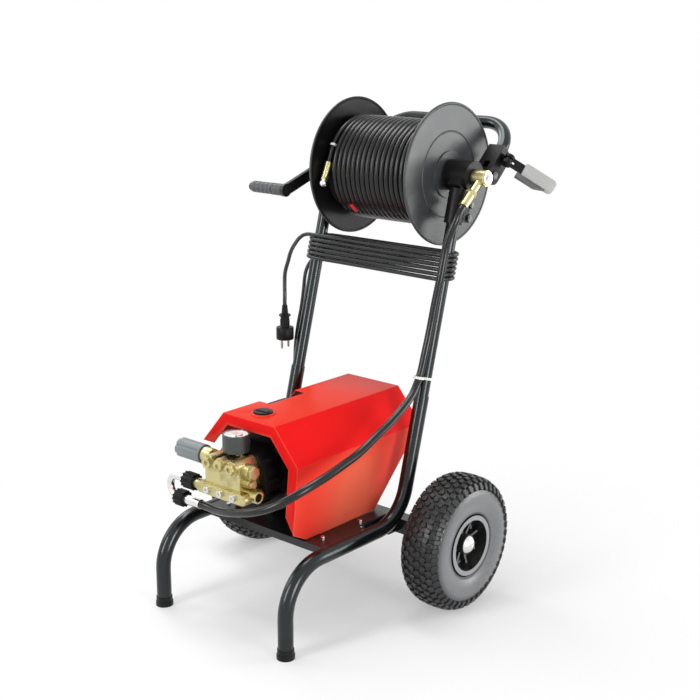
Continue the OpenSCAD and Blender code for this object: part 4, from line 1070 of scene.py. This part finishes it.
class Lay(StrEnum):
    """How a cord lies."""

    COILED = "coiled"
    HANGING = "hanging"


class Stiffness(StrEnum):
    """How far a cord holds its shape."""

    MEDIUM = "medium"
    STIFF = "stiff"


@dataclass
class CordRun:
    """A flexible run drawn as one open curve with a round section; sizes in millimetres."""

    name: str
    body: str
    diameter: float
    length: float
    far_end: FarEnd
    lay: Lay
    stiffness: Stiffness
    colour: Colour
    stands_for: tuple[str, ...]
    with_pieces: tuple[Piece, ...] = ()
    gloss: Span = (0.2, 0.42)

    def route(self) -> list[Vector]:
        """Points of the centre line, from the exit on, in metres."""
        raise NotImplementedError

    def build(self) -> None:
        points = self.route()
        line = bpy.data.curves.new(self.name, "CURVE")
        line.dimensions = "3D"
        line.resolution_u = 4
        line.bevel_depth = self.diameter / 2 * MM
        line.bevel_resolution = 4
        line.use_fill_caps = True
        spline = line.splines.new("BEZIER")
        spline.bezier_points.add(len(points) - 1)
        for knot, place in zip(spline.bezier_points, points):
            knot.co = place
            knot.handle_left_type = knot.handle_right_type = "AUTO"
        sizes = {"length": self.length * MM, "diameter": self.diameter * MM}
        line.materials.append(Jacket(self.name + "_skin", self.colour, *self.gloss, **sizes).material())
        run = in_scene(self.name, line)
        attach(run, self.body)
        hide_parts(*self.stands_for)
        drawn = sum((b - a).length for a, b in zip(points, points[1:]))
        LOG.info("%s: %.3f m between its points, stated %.3f m", self.name, drawn, self.length * MM)


HOSE_BLACK: Colour = (0.005, 0.0053, 0.0056)
CABLE_BLACK: Colour = (0.017, 0.018, 0.019)
FEED_START = (193.55, 116.57, 749.43)
FEED_FALL = math.radians(40.0)
FEED_END = (-66.0, -314.744, 224.0)
FEED_ROUTE = (
    (192, 98, 726), (187, 93, 709), (181, 89, 688), (177, 86, 662), (176, 79, 630), (170, 70, 575),
    (166, 60, 520), (164.5, 46.5, 472), (163.5, 39.5, 447), (163.5, 33, 433), (164, 26, 423),
    (165.5, 17.5, 414), (168, 4, 404), (171, -24, 389), (173, -62, 371), (174, -108, 353),
    (174.5, -152, 335.5), (174.5, -194.5, 325), (174, -235.5, 315.5), (170, -266, 307.5),
    (162.5, -291, 298.5), (150.5, -310, 287.5), (129.5, -327, 273.5), (100, -336, 260.5),
    (60, -335.5, 246.5), (14.5, -329, 234), (-24, -319, 226),
)
LEAD_ROUTE = (
    (-134, 55.256, 305), (-142, 55.256, 305),
    (-156, 55, 308), (-167, 55.5, 315), (-176, 56, 328), (-180, 57, 343), (-180, 58, 372), (-181, 60, 405),
    (-182, 64, 440), (-183.5, 72, 471), (-187, 87, 510), (-194.5, 102, 544.5), (-201, 112, 563),
    (-202, 117.5, 577), (-199, 123, 590), (-191, 127, 601.5), (-180, 129, 608),
)
TAIL_ROUTE = (
    (-182, 92, 657.5), (-193, 88.5, 650), (-199, 83.5, 640), (-203, 73, 622.5), (-202, 64, 605),
    (-199.5, 52, 583), (-194, 44.5, 562), (-189.5, 40, 539), (-189, 39, 528), (-189, 39, 520),
)
UPRIGHT_FOOT = (1.36, 223.0)
UPRIGHT_LEAN = 0.26795
REEL_AXIS = (173.256, 797.0)


def upright_y(z: float) -> float:
    """Y of the uprights' axes at a height, in millimetres."""
    return UPRIGHT_FOOT[0] + (z - UPRIGHT_FOOT[1]) * UPRIGHT_LEAN


def ease(t: float) -> float:
    """A soft step from 0 to 1."""
    return (1 - math.cos(math.pi * min(1.0, max(0.0, t)))) / 2


@dataclass
class FeedHose(CordRun):
    """Pressure hose from the reel's swivel down to the pump's outlet."""

    def route(self) -> list[Vector]:
        """Straight out of the ferrule, down the upright and round the front of the pump.

        Returns:
            The points in metres.
        """
        start, end = at(*FEED_START), at(*FEED_END)
        fall = Vector((0.0, -math.cos(FEED_FALL), -math.sin(FEED_FALL))) * (self.diameter * MM)
        straight_in = at(self.diameter, 0, 0)
        return [start, start + fall, *(at(*point) for point in FEED_ROUTE), end + straight_in, end]


@dataclass
class MainsCable(CordRun):
    """Mains cable: out of the gland, round both uprights, and down to the plug."""

    loop_x: float = 152.5
    loop_r: float = 24.5
    loop_pitch: float = 8.75
    straight_rings: int = 4
    bend_rings: int = 8
    last_ring: int = 136
    low_z: float = 610.0

    def loop_point(self, ring: int) -> Vector:
        """A point of the loops round the uprights: a straight and a bend behind them, then in front.

        Args:
            ring: its number from the loops' start.

        Returns:
            The point in metres.
        """
        half_loop = self.straight_rings + self.bend_rings
        z = self.low_z + self.loop_pitch * ring / (2 * half_loop)
        half, i = divmod(ring % (2 * half_loop), half_loop)
        side = 1 if half == 0 else -1
        if i < self.straight_rings:
            x, y = 2 * self.loop_x * i / self.straight_rings - self.loop_x, self.loop_r
        else:
            a = math.radians(90 - 180 * (i - self.straight_rings) / self.bend_rings)
            x, y = self.loop_x + self.loop_r * math.cos(a), self.loop_r * math.sin(a)
        return at(side * x, upright_y(z) + side * y, z)

    def route(self) -> list[Vector]:
        """Lead, loops and free end in one line.

        Returns:
            The points in metres.
        """
        loops = [self.loop_point(ring) for ring in range(self.last_ring + 1)]
        step = at(self.diameter, 0, 0)
        lead, tail = ([at(*point) for point in points] for points in (LEAD_ROUTE, TAIL_ROUTE))
        return [*lead, loops[0] - step, *loops, loops[-1] - step, *tail]


@dataclass
class ReelHose(CordRun):
    """Outer layer of the jetting hose on its reel."""

    first_x: float = 108.7
    pitch: float = 11.9
    start_r: float = 82.1
    layer_r: float = 96.0
    turns: float = 17.4
    end_angle: float = 165.0
    end_step: float = 3.0
    rings: int = 24

    def point(self, turn: float) -> Vector:
        """A point of the layer.

        Args:
            turn: turns from its start.

        Returns:
            The point in metres.
        """
        angle = math.radians(self.end_angle - 360 * (self.turns - turn))
        radius = self.start_r + (self.layer_r - self.start_r) * ease(2 * turn)
        x = self.first_x - self.pitch * turn - self.end_step * ease(2 * (turn - self.turns) + 1)
        return at(x, REEL_AXIS[0] + radius * math.cos(angle), REEL_AXIS[1] + radius * math.sin(angle))

    def route(self) -> list[Vector]:
        """The layer from the drum's tail piece to the nozzle.

        Returns:
            The points in metres.
        """
        count = math.floor(self.turns * self.rings)
        body = [self.point(self.turns * i / count) for i in range(count + 1)]
        step = self.diameter * MM
        first = (body[0] - body[1]).normalized() * step
        last = (body[-1] - body[-2]).normalized() * step
        return [body[0] + first, *body, body[-1] + last]


# Sub-assemblies, with sizes in millimetres


@dataclass
class MainsPlug:
    """Round two-pin plug with its ribbed neck."""

    top: Vector
    pin_gap: float = 19.0
    pin_r: float = 2.4
    neck_ribs: int = 4
    neck_step: Span = (-4.6, 0.38)
    neck_rib: Profile = ((-3.0, 5.2), (-3.4, 5.9), (-5.6, 6.0), (-6.0, 5.3))
    body: Profile = (
        (-20.0, 6.6), (-20.3, 11.6), (-20.9, 12.0), (-23.2, 12.0), (-24.0, 11.4), (-24.4, 9.0),
        (-30.0, 8.9), (-44.5, 9.0), (-46.0, 10.2), (-46.8, 17.0), (-48.0, 17.9), (-70.8, 18.0),
        (-72.0, 17.2), (-72.0, 15.2), (-70.6, 14.6), (-70.6, 0.0),
    )
    ribs: int = 12
    rib_r: float = 0.0005
    rib_size: Triple = (1.6, 1.4, 13.0)
    rib_place: Triple = (9.2, 0, -36.5)

    def build(self) -> Piece:
        """Turns the moulding and sets its pins.

        Returns:
            The plug.
        """
        profile = [(0.0, 0.0), (0.0, 4.6)]
        for rib in range(self.neck_ribs):
            down, out = (step * rib for step in self.neck_step)
            profile += [(z + down, r + out) for z, r in self.neck_rib]
        mesh = turned([*profile, *self.body], self.top, Axis.Z)
        for rib in range(self.ribs):
            place = shift(self.top) @ rotated("Z", 360 * rib / self.ribs) @ shift(at(*self.rib_place))
            add_to(mesh, block(self.rib_size, self.rib_r), place)
        plug = set_piece("mains_plug_moulding", mesh, "cart", "black_plastic", stands_for=["mains_plug"])
        pins = bmesh.new()
        tip_r = self.pin_r * 2 / 3
        pin = [(-70.0, 0.0), (-70.0, self.pin_r), (-88.6, self.pin_r), (-90.4, tip_r), (-91.0, 0.0)]
        for side in Side:
            add_to(pins, turned(pin, self.top + at(0, side.value * self.pin_gap / 2, 0), Axis.Z, 20))
        set_piece("mains_plug_pins", pins, "cart", "steel", PIN_STEEL)
        return plug


# Tread blocks of a tyre's half: place across; place round the wheel in shares of the pitch, for both halves
# and apart; size across, along and up; lean over the shoulder and skew in degrees; depth below the tread's top
LUGS = (
    (6.3, 0.0, 0.13, (10.4, 9.6, 6.0), 1.5, 18, 0.0),
    (18.6, 0.5, 0.1, (10.6, 9.8, 6.0), 7, -16, 1.0),
    (29.6, 0.0, 0.05, (10.0, 10.4, 6.5), 26, 12, 4.6),
    (38.6, 0.5, 0.0, (15.0, 9.2, 7.0), 60, 0, 14.6),
)


@dataclass
class Wheel:
    """Pneumatic wheel with a block tread and smooth side walls down to the beads on the rim."""

    side: Side
    lugs: int = 44
    lug_r: float = 0.0011
    tread_top: float = 129.7
    facets: int = 96
    crown: Profile = (
        (0.0, 125.4), (12.0, 125.0), (22.0, 123.6), (30.0, 120.6), (35.4, 115.4), (37.6, 110.6),
        (37.8, 107.8), (36.0, 106.0),
    )
    wall: Profile = (
        (36.4, 108.6), (38.2, 107.6), (39.2, 106.0), (39.5, 104.6), (40.5, 101.6), (41.7, 97.0),
        (42.4, 91.5), (42.3, 86.0), (41.4, 80.0), (39.7, 74.0), (37.8, 69.0), (36.7, 66.2), (36.2, 64.6),
        (36.4, 63.2), (35.6, 61.0), (31.2, 58.6), (30.6, 55.0),
    )

    @property
    def centre(self) -> Vector:
        """Middle of the wheel."""
        return Vector((self.side.value * WHEEL_X, *AXLE))

    def tread(self) -> Mesh:
        """The tyre's crown with its blocks.

        Returns:
            The mesh.
        """
        mesh = turned([*mirrored(self.crown[1:]), *self.crown], self.centre, Axis.X, self.facets)
        ring = bmesh.new()
        for sign in (-1, 1):
            for across, step, skip, size, lean, skew, drop in LUGS:
                top = at(sign * across, 0, self.tread_top - drop)
                place = shift(self.centre) @ rotated("X", 360 * (step + skip * sign) / self.lugs) @ shift(top)
                place = place @ rotated("Y", sign * lean) @ rotated("Z", sign * skew)
                add_to(ring, block(size, self.lug_r), place @ shift(at(0, 0, -size[2] / 2)))
        rest = self.lugs - 1
        bmesh.ops.spin(
            ring, geom=whole(ring), cent=self.centre, axis=Axis.X.vector,
            angle=FULL_TURN * rest / self.lugs, steps=rest, use_duplicate=True,
        )
        bmesh.ops.recalc_face_normals(ring, faces=ring.faces)
        add_to(mesh, ring)
        return mesh

    def build(self) -> None:
        """Builds the tyre."""
        name = self.side.name.lower()
        body = f"{name}_wheel"
        set_piece(f"{name}_tyre_tread", self.tread(), body, "tyre", stands_for=[f"{name}_tyre"], smooth=35.0)
        walls = turned(self.wall, self.centre, Axis.X, self.facets)
        add_to(walls, turned(mirrored(self.wall), self.centre, Axis.X, self.facets))
        set_piece(f"{name}_tyre_walls", walls, body, "tyre", SIDEWALL)


@dataclass
class SheetCover:
    """Folded red cover with rounded bends."""

    bend: float = 0.0014
    least_turn: float = 15.0

    def build(self) -> None:
        """Rounds the cover's folds and rims."""
        mesh = eased_copy("cover", self.bend, self.least_turn, 3)
        set_piece("cover_sheet", mesh, "cart", "red_cover", stands_for=["cover"])


@dataclass
class GaugeDial:
    """White dial with its scale under the gauge's lens."""

    centre: Vector
    radius: float = 21.0
    wall_h: float = 6.9
    plate_t: float = 0.3
    start: float = 225.0
    sweep: float = 270.0
    marks: int = 25
    major_each: int = 4
    major: Triple = (4.0, 0.8, 0.08)
    minor: Triple = (2.2, 0.4, 0.08)
    ink_r: float = 0.00002
    mark_in: float = 1.2
    mark_z: float = 0.32
    numbers: tuple[str, ...] = ("0", "50", "100", "150", "200", "250", "300")
    number_r: float = 12.6
    number_h: float = 4.2

    def angle(self, step: int, steps: int) -> float:
        """Angle of a step of the scale, in degrees."""
        return self.start - self.sweep * step / (steps - 1)

    def build(self) -> None:
        """Lays the dial, its marks and its numbers."""
        r, h, t = self.radius, self.wall_h, self.plate_t
        face = [(0.0, 0.0), (0.0, r), (h, r + 0.7), (h, r + 0.2), (t, r - 0.5), (t, 0.0)]
        set_piece("gauge_dial", turned(face, self.centre, Axis.Z), "cart", finish=DIAL_WHITE)
        ink = bmesh.new()
        for mark in range(self.marks):
            size = self.minor if mark % self.major_each else self.major
            turn = rotated("Z", self.angle(mark, self.marks))
            out = at(r - self.mark_in - size[0] / 2, 0, self.mark_z)
            add_to(ink, block(size, self.ink_r), shift(self.centre) @ turn @ shift(out))
        for index, text in enumerate(self.numbers):
            out = rotated("Z", self.angle(index, len(self.numbers))) @ at(self.number_r, 0, t)
            add_to(ink, self.word(text), shift(self.centre + out))
        set_piece("gauge_scale", ink, "cart", finish=DIAL_INK)

    def word(self, text: str) -> Mesh:
        """A number as a thin mesh.

        Args:
            text: the figures.

        Returns:
            The mesh, centred on the origin.
        """
        letters = bpy.data.curves.new("figures", "FONT")
        letters.body = text
        letters.size = self.number_h * MM
        letters.align_x = letters.align_y = "CENTER"
        letters.extrude = 0.00004
        holder = in_scene("figures", letters)
        bpy.context.view_layer.update()
        flat = bpy.data.meshes.new_from_object(holder.evaluated_get(bpy.context.evaluated_depsgraph_get()))
        mesh = bmesh.new()
        mesh.from_mesh(flat)
        bpy.data.objects.remove(holder)
        bpy.data.curves.remove(letters)
        bpy.data.meshes.remove(flat)
        return mesh


@dataclass
class HoseMarks:
    """Red sleeve, white tie and plated ball on the reel's hose."""

    hose: ReelHose
    sleeve_turn: float = 14.575
    sleeve: Profile = ((-12, 5.74), (-11.8, 5.98), (11.8, 5.98), (12, 5.74))
    tie_turn: float = 17.36
    tie: Profile = ((-2.2, 5.74), (-2.2, 6.4), (-1.8, 6.7), (1.8, 6.7), (2.2, 6.4), (2.2, 5.74))
    turn_step: float = 0.004
    ball_r: float = 8.3
    ball_middle: float = 41.7
    ball_facets: int = 16

    def ring_at(self, turn: float, profile: Profile) -> Mesh:
        """A turned ring round the hose.

        Args:
            turn: turns from the layer's start.
            profile: (along, radius) pairs.

        Returns:
            The mesh in the part's frame.
        """
        along = self.hose.point(turn + self.turn_step) - self.hose.point(turn - self.turn_step)
        mesh = turned(profile, Vector(), Axis.Z, 24)
        move(mesh, frame_along(self.hose.point(turn), along))
        return mesh

    def build(self) -> None:
        """Sets the plated ball with the jets at the nozzle's end, then the sleeve and the tie."""
        before, end = self.hose.route()[-2:]
        steps = (math.pi * k / self.ball_facets for k in range(self.ball_facets + 1))
        r = self.ball_r
        arc = [(self.ball_middle - r * math.cos(a), max(0.0, r * math.sin(a))) for a in steps]
        ball = turned(arc, Vector(), Axis.Z, 2 * self.ball_facets)
        move(ball, frame_along(end, end - before))
        set_piece("nozzle_ball", ball, "reel", "nickel")
        set_piece("hose_marker_sleeve", self.ring_at(self.sleeve_turn, self.sleeve), "reel", finish=MARKER_RED)
        set_piece("hose_end_tie", self.ring_at(self.tie_turn, self.tie), "reel", finish=NYLON_WHITE)


@dataclass
class SwivelCap:
    """Plated end cap of the reel's swivel."""

    place: Vector
    profile: Profile = (
        (0.0, 0.0), (0.0, 13.2), (2.0, 13.2), (2.8, 12.4), (2.8, 3.4), (2.3, 2.8), (2.3, 0.0),
    )

    def build(self) -> None:
        """Turns the cap with its dimple."""
        set_piece("swivel_cap", turned(self.profile, self.place, Axis.X), "cart", "nickel")


@dataclass
class LeverGrip:
    """Soft-edged pad of the clamp lever and the web under it."""

    eye: Vector
    rise: float = 43.0
    droop: float = 45.0
    start: float = 34.0
    pad: Triple = (70.0, 28.0, 15.0)
    tip_r: float = 0.009
    rim_r: float = 0.0026
    rim_turn: float = 40.0
    web: Triple = (66.0, 11.0, 8.0)
    web_r: float = 0.0012
    web_cut: Triple = (1.0, -2.2, 0.0)
    web_back: float = 8.0
    web_lap: float = 1.5

    def place(self, x: float, y: float) -> Matrix:
        """Where a piece goes whose middle lies at x along the lever and y across it."""
        return shift(self.eye) @ rotated("X", self.rise) @ rotated("Y", self.droop) @ shift(at(x, y, 0))

    def rounded_pad(self) -> Mesh:
        """Pad with a round tip and soft rims.

        Returns:
            The mesh about the pad's middle.
        """
        mesh = block(self.pad)
        front = [e for e in mesh.edges if all(v.co.x > 0 for v in e.verts)]
        bevel(mesh, [e for e in front if abs((e.verts[0].co - e.verts[1].co).z) > WELD], self.tip_r, 6)
        least = math.radians(self.rim_turn)
        bevel(mesh, [e for e in mesh.edges if e.calc_face_angle() > least], self.rim_r, 3)
        return mesh

    def build(self) -> None:
        """Sets the pad and the web on the lever."""
        grip = self.rounded_pad()
        move(grip, self.place(self.start + self.pad[0] / 2, 0))
        set_piece("lever_grip_moulding", grip, "clamp_lever", "lever_grey", stands_for=["lever_grip"])
        web = block(self.web, self.web_r, 2)
        corner = at(*self.web) / 2
        cut = bmesh.ops.bisect_plane(
            web, geom=whole(web), plane_co=corner, plane_no=Vector(self.web_cut), clear_outer=True
        )
        bmesh.ops.holes_fill(web, edges=[e for e in cut["geom_cut"] if isinstance(e, Edge)])
        along = self.start + self.web[0] / 2 - self.web_back
        move(web, self.place(along, -(self.pad[1] + self.web[1]) / 2 + self.web_lap))
        set_piece("lever_web", web, "clamp_lever", "lever_grey", LEVER_WEB)


@dataclass
class CrankGrip:
    """Turning grip of the crank, with a lined collar and finger grooves."""

    length: float = 84.0
    radius: float = 11.9
    bore: float = 6.2
    collar: float = 25.0
    neck_r: float = 9.8
    nose: Profile = ((0.0, 9.6), (0.8, 10.8), (2.2, 11.3))
    grooves: tuple[float, ...] = (12.0, 24.0, 36.0, 48.0)
    groove: Profile = ((-3.0, 11.6), (-1.6, 11.2), (0.0, 10.1), (1.0, 11.0), (1.8, 11.6))
    lines: int = 6
    line_start: float = 3.0
    line_pitch: float = 3.4
    line: Profile = ((0.0, 0.0), (0.4, -0.5), (0.9, -0.5), (1.3, 0.0))
    end: Profile = ((-0.6, 11.9), (0.0, 11.2))

    def outline(self) -> list[Span]:
        """Section from the free end to the arm and back along the bore.

        Returns:
            (along, radius) pairs.
        """
        half = [(0.0, self.bore), *self.nose]
        for groove in self.grooves:
            half += [(groove + run, r) for run, r in self.groove]
        start = self.length - self.collar
        half += [(start - 1.6, self.radius), (start - 1.4, self.neck_r), (start, self.neck_r)]
        half.append((start + 0.2, self.radius))
        for line in range(self.lines):
            at_line = start + self.line_start + self.line_pitch * line
            half += [(at_line + run, self.radius + r) for run, r in self.line]
        half += [(self.length + run, r) for run, r in self.end]
        return [*half, (self.length, self.bore), (0.0, self.bore)]

    def build(self) -> None:
        """Turns the grip about its pin."""
        low, high = (Vector(corner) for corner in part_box("crank_grip"))
        centre = Vector((low.x, (low.y + high.y) / 2, (low.z + high.z) / 2))
        mesh = turned(self.outline(), centre, Axis.X, 40)
        set_piece("crank_grip_moulding", mesh, "crank_grip", "grip_grey", stands_for=["crank_grip"], smooth=30.0)


def dress_solids() -> None:
    """Gives every carried-over solid the finish of its slot or its own."""
    slots = {part["node"]: part["material_slot"] for part in frame["record"]["subparts"]}
    for node, solid in frame["nodes"].items():
        finish = NODE_FINISHES.get(node, SLOT_FINISHES[slots[node]])
        solid.data.materials.clear()
        solid.data.materials.append(finish.material())
        LOG.info("%s: %s", node, finish.name)


def main() -> None:
    """Builds the scene in order."""
    logging.basicConfig(level=logging.INFO, format="%(name)s: %(message)s")
    Studio(at(1581.6, -1799.2, 1100.4), at(10.8, 11.5, 464.8)).build()
    plug = MainsPlug(at(*TAIL_ROUTE[-1])).build()
    FeedHose(
        "feed_hose_run", "cart", 15.0, 955.0, FarEnd.OBJECT, Lay.HANGING, Stiffness.STIFF,
        HOSE_BLACK, ("feed_hose",),
    ).build()
    MainsCable(
        "mains_cable_run", "cart", 8.0, 5080.0, FarEnd.PLUG, Lay.COILED, Stiffness.MEDIUM,
        CABLE_BLACK, ("cable_lead", "cable_hank", "cable_tail"), (plug,),
    ).build()
    reel_hose = ReelHose(
        "reel_hose_layer", "reel", 11.4, 10505.0, FarEnd.TOOL, Lay.COILED, Stiffness.MEDIUM,
        HOSE_BLACK, ("hose_winding",), (frame["nodes"]["hose_nozzle"],),
    )
    reel_hose.build()
    dress_solids()
    for side in Side:
        Wheel(side).build()
    SheetCover().build()
    GaugeDial(at(0, -285.7, 358.02)).build()
    HoseMarks(reel_hose).build()
    SwivelCap(at(207.05, *REEL_AXIS)).build()
    LeverGrip(at(189, 266.51, 821.28)).build()
    CrankGrip().build()


if __name__ == "__main__":
    main()
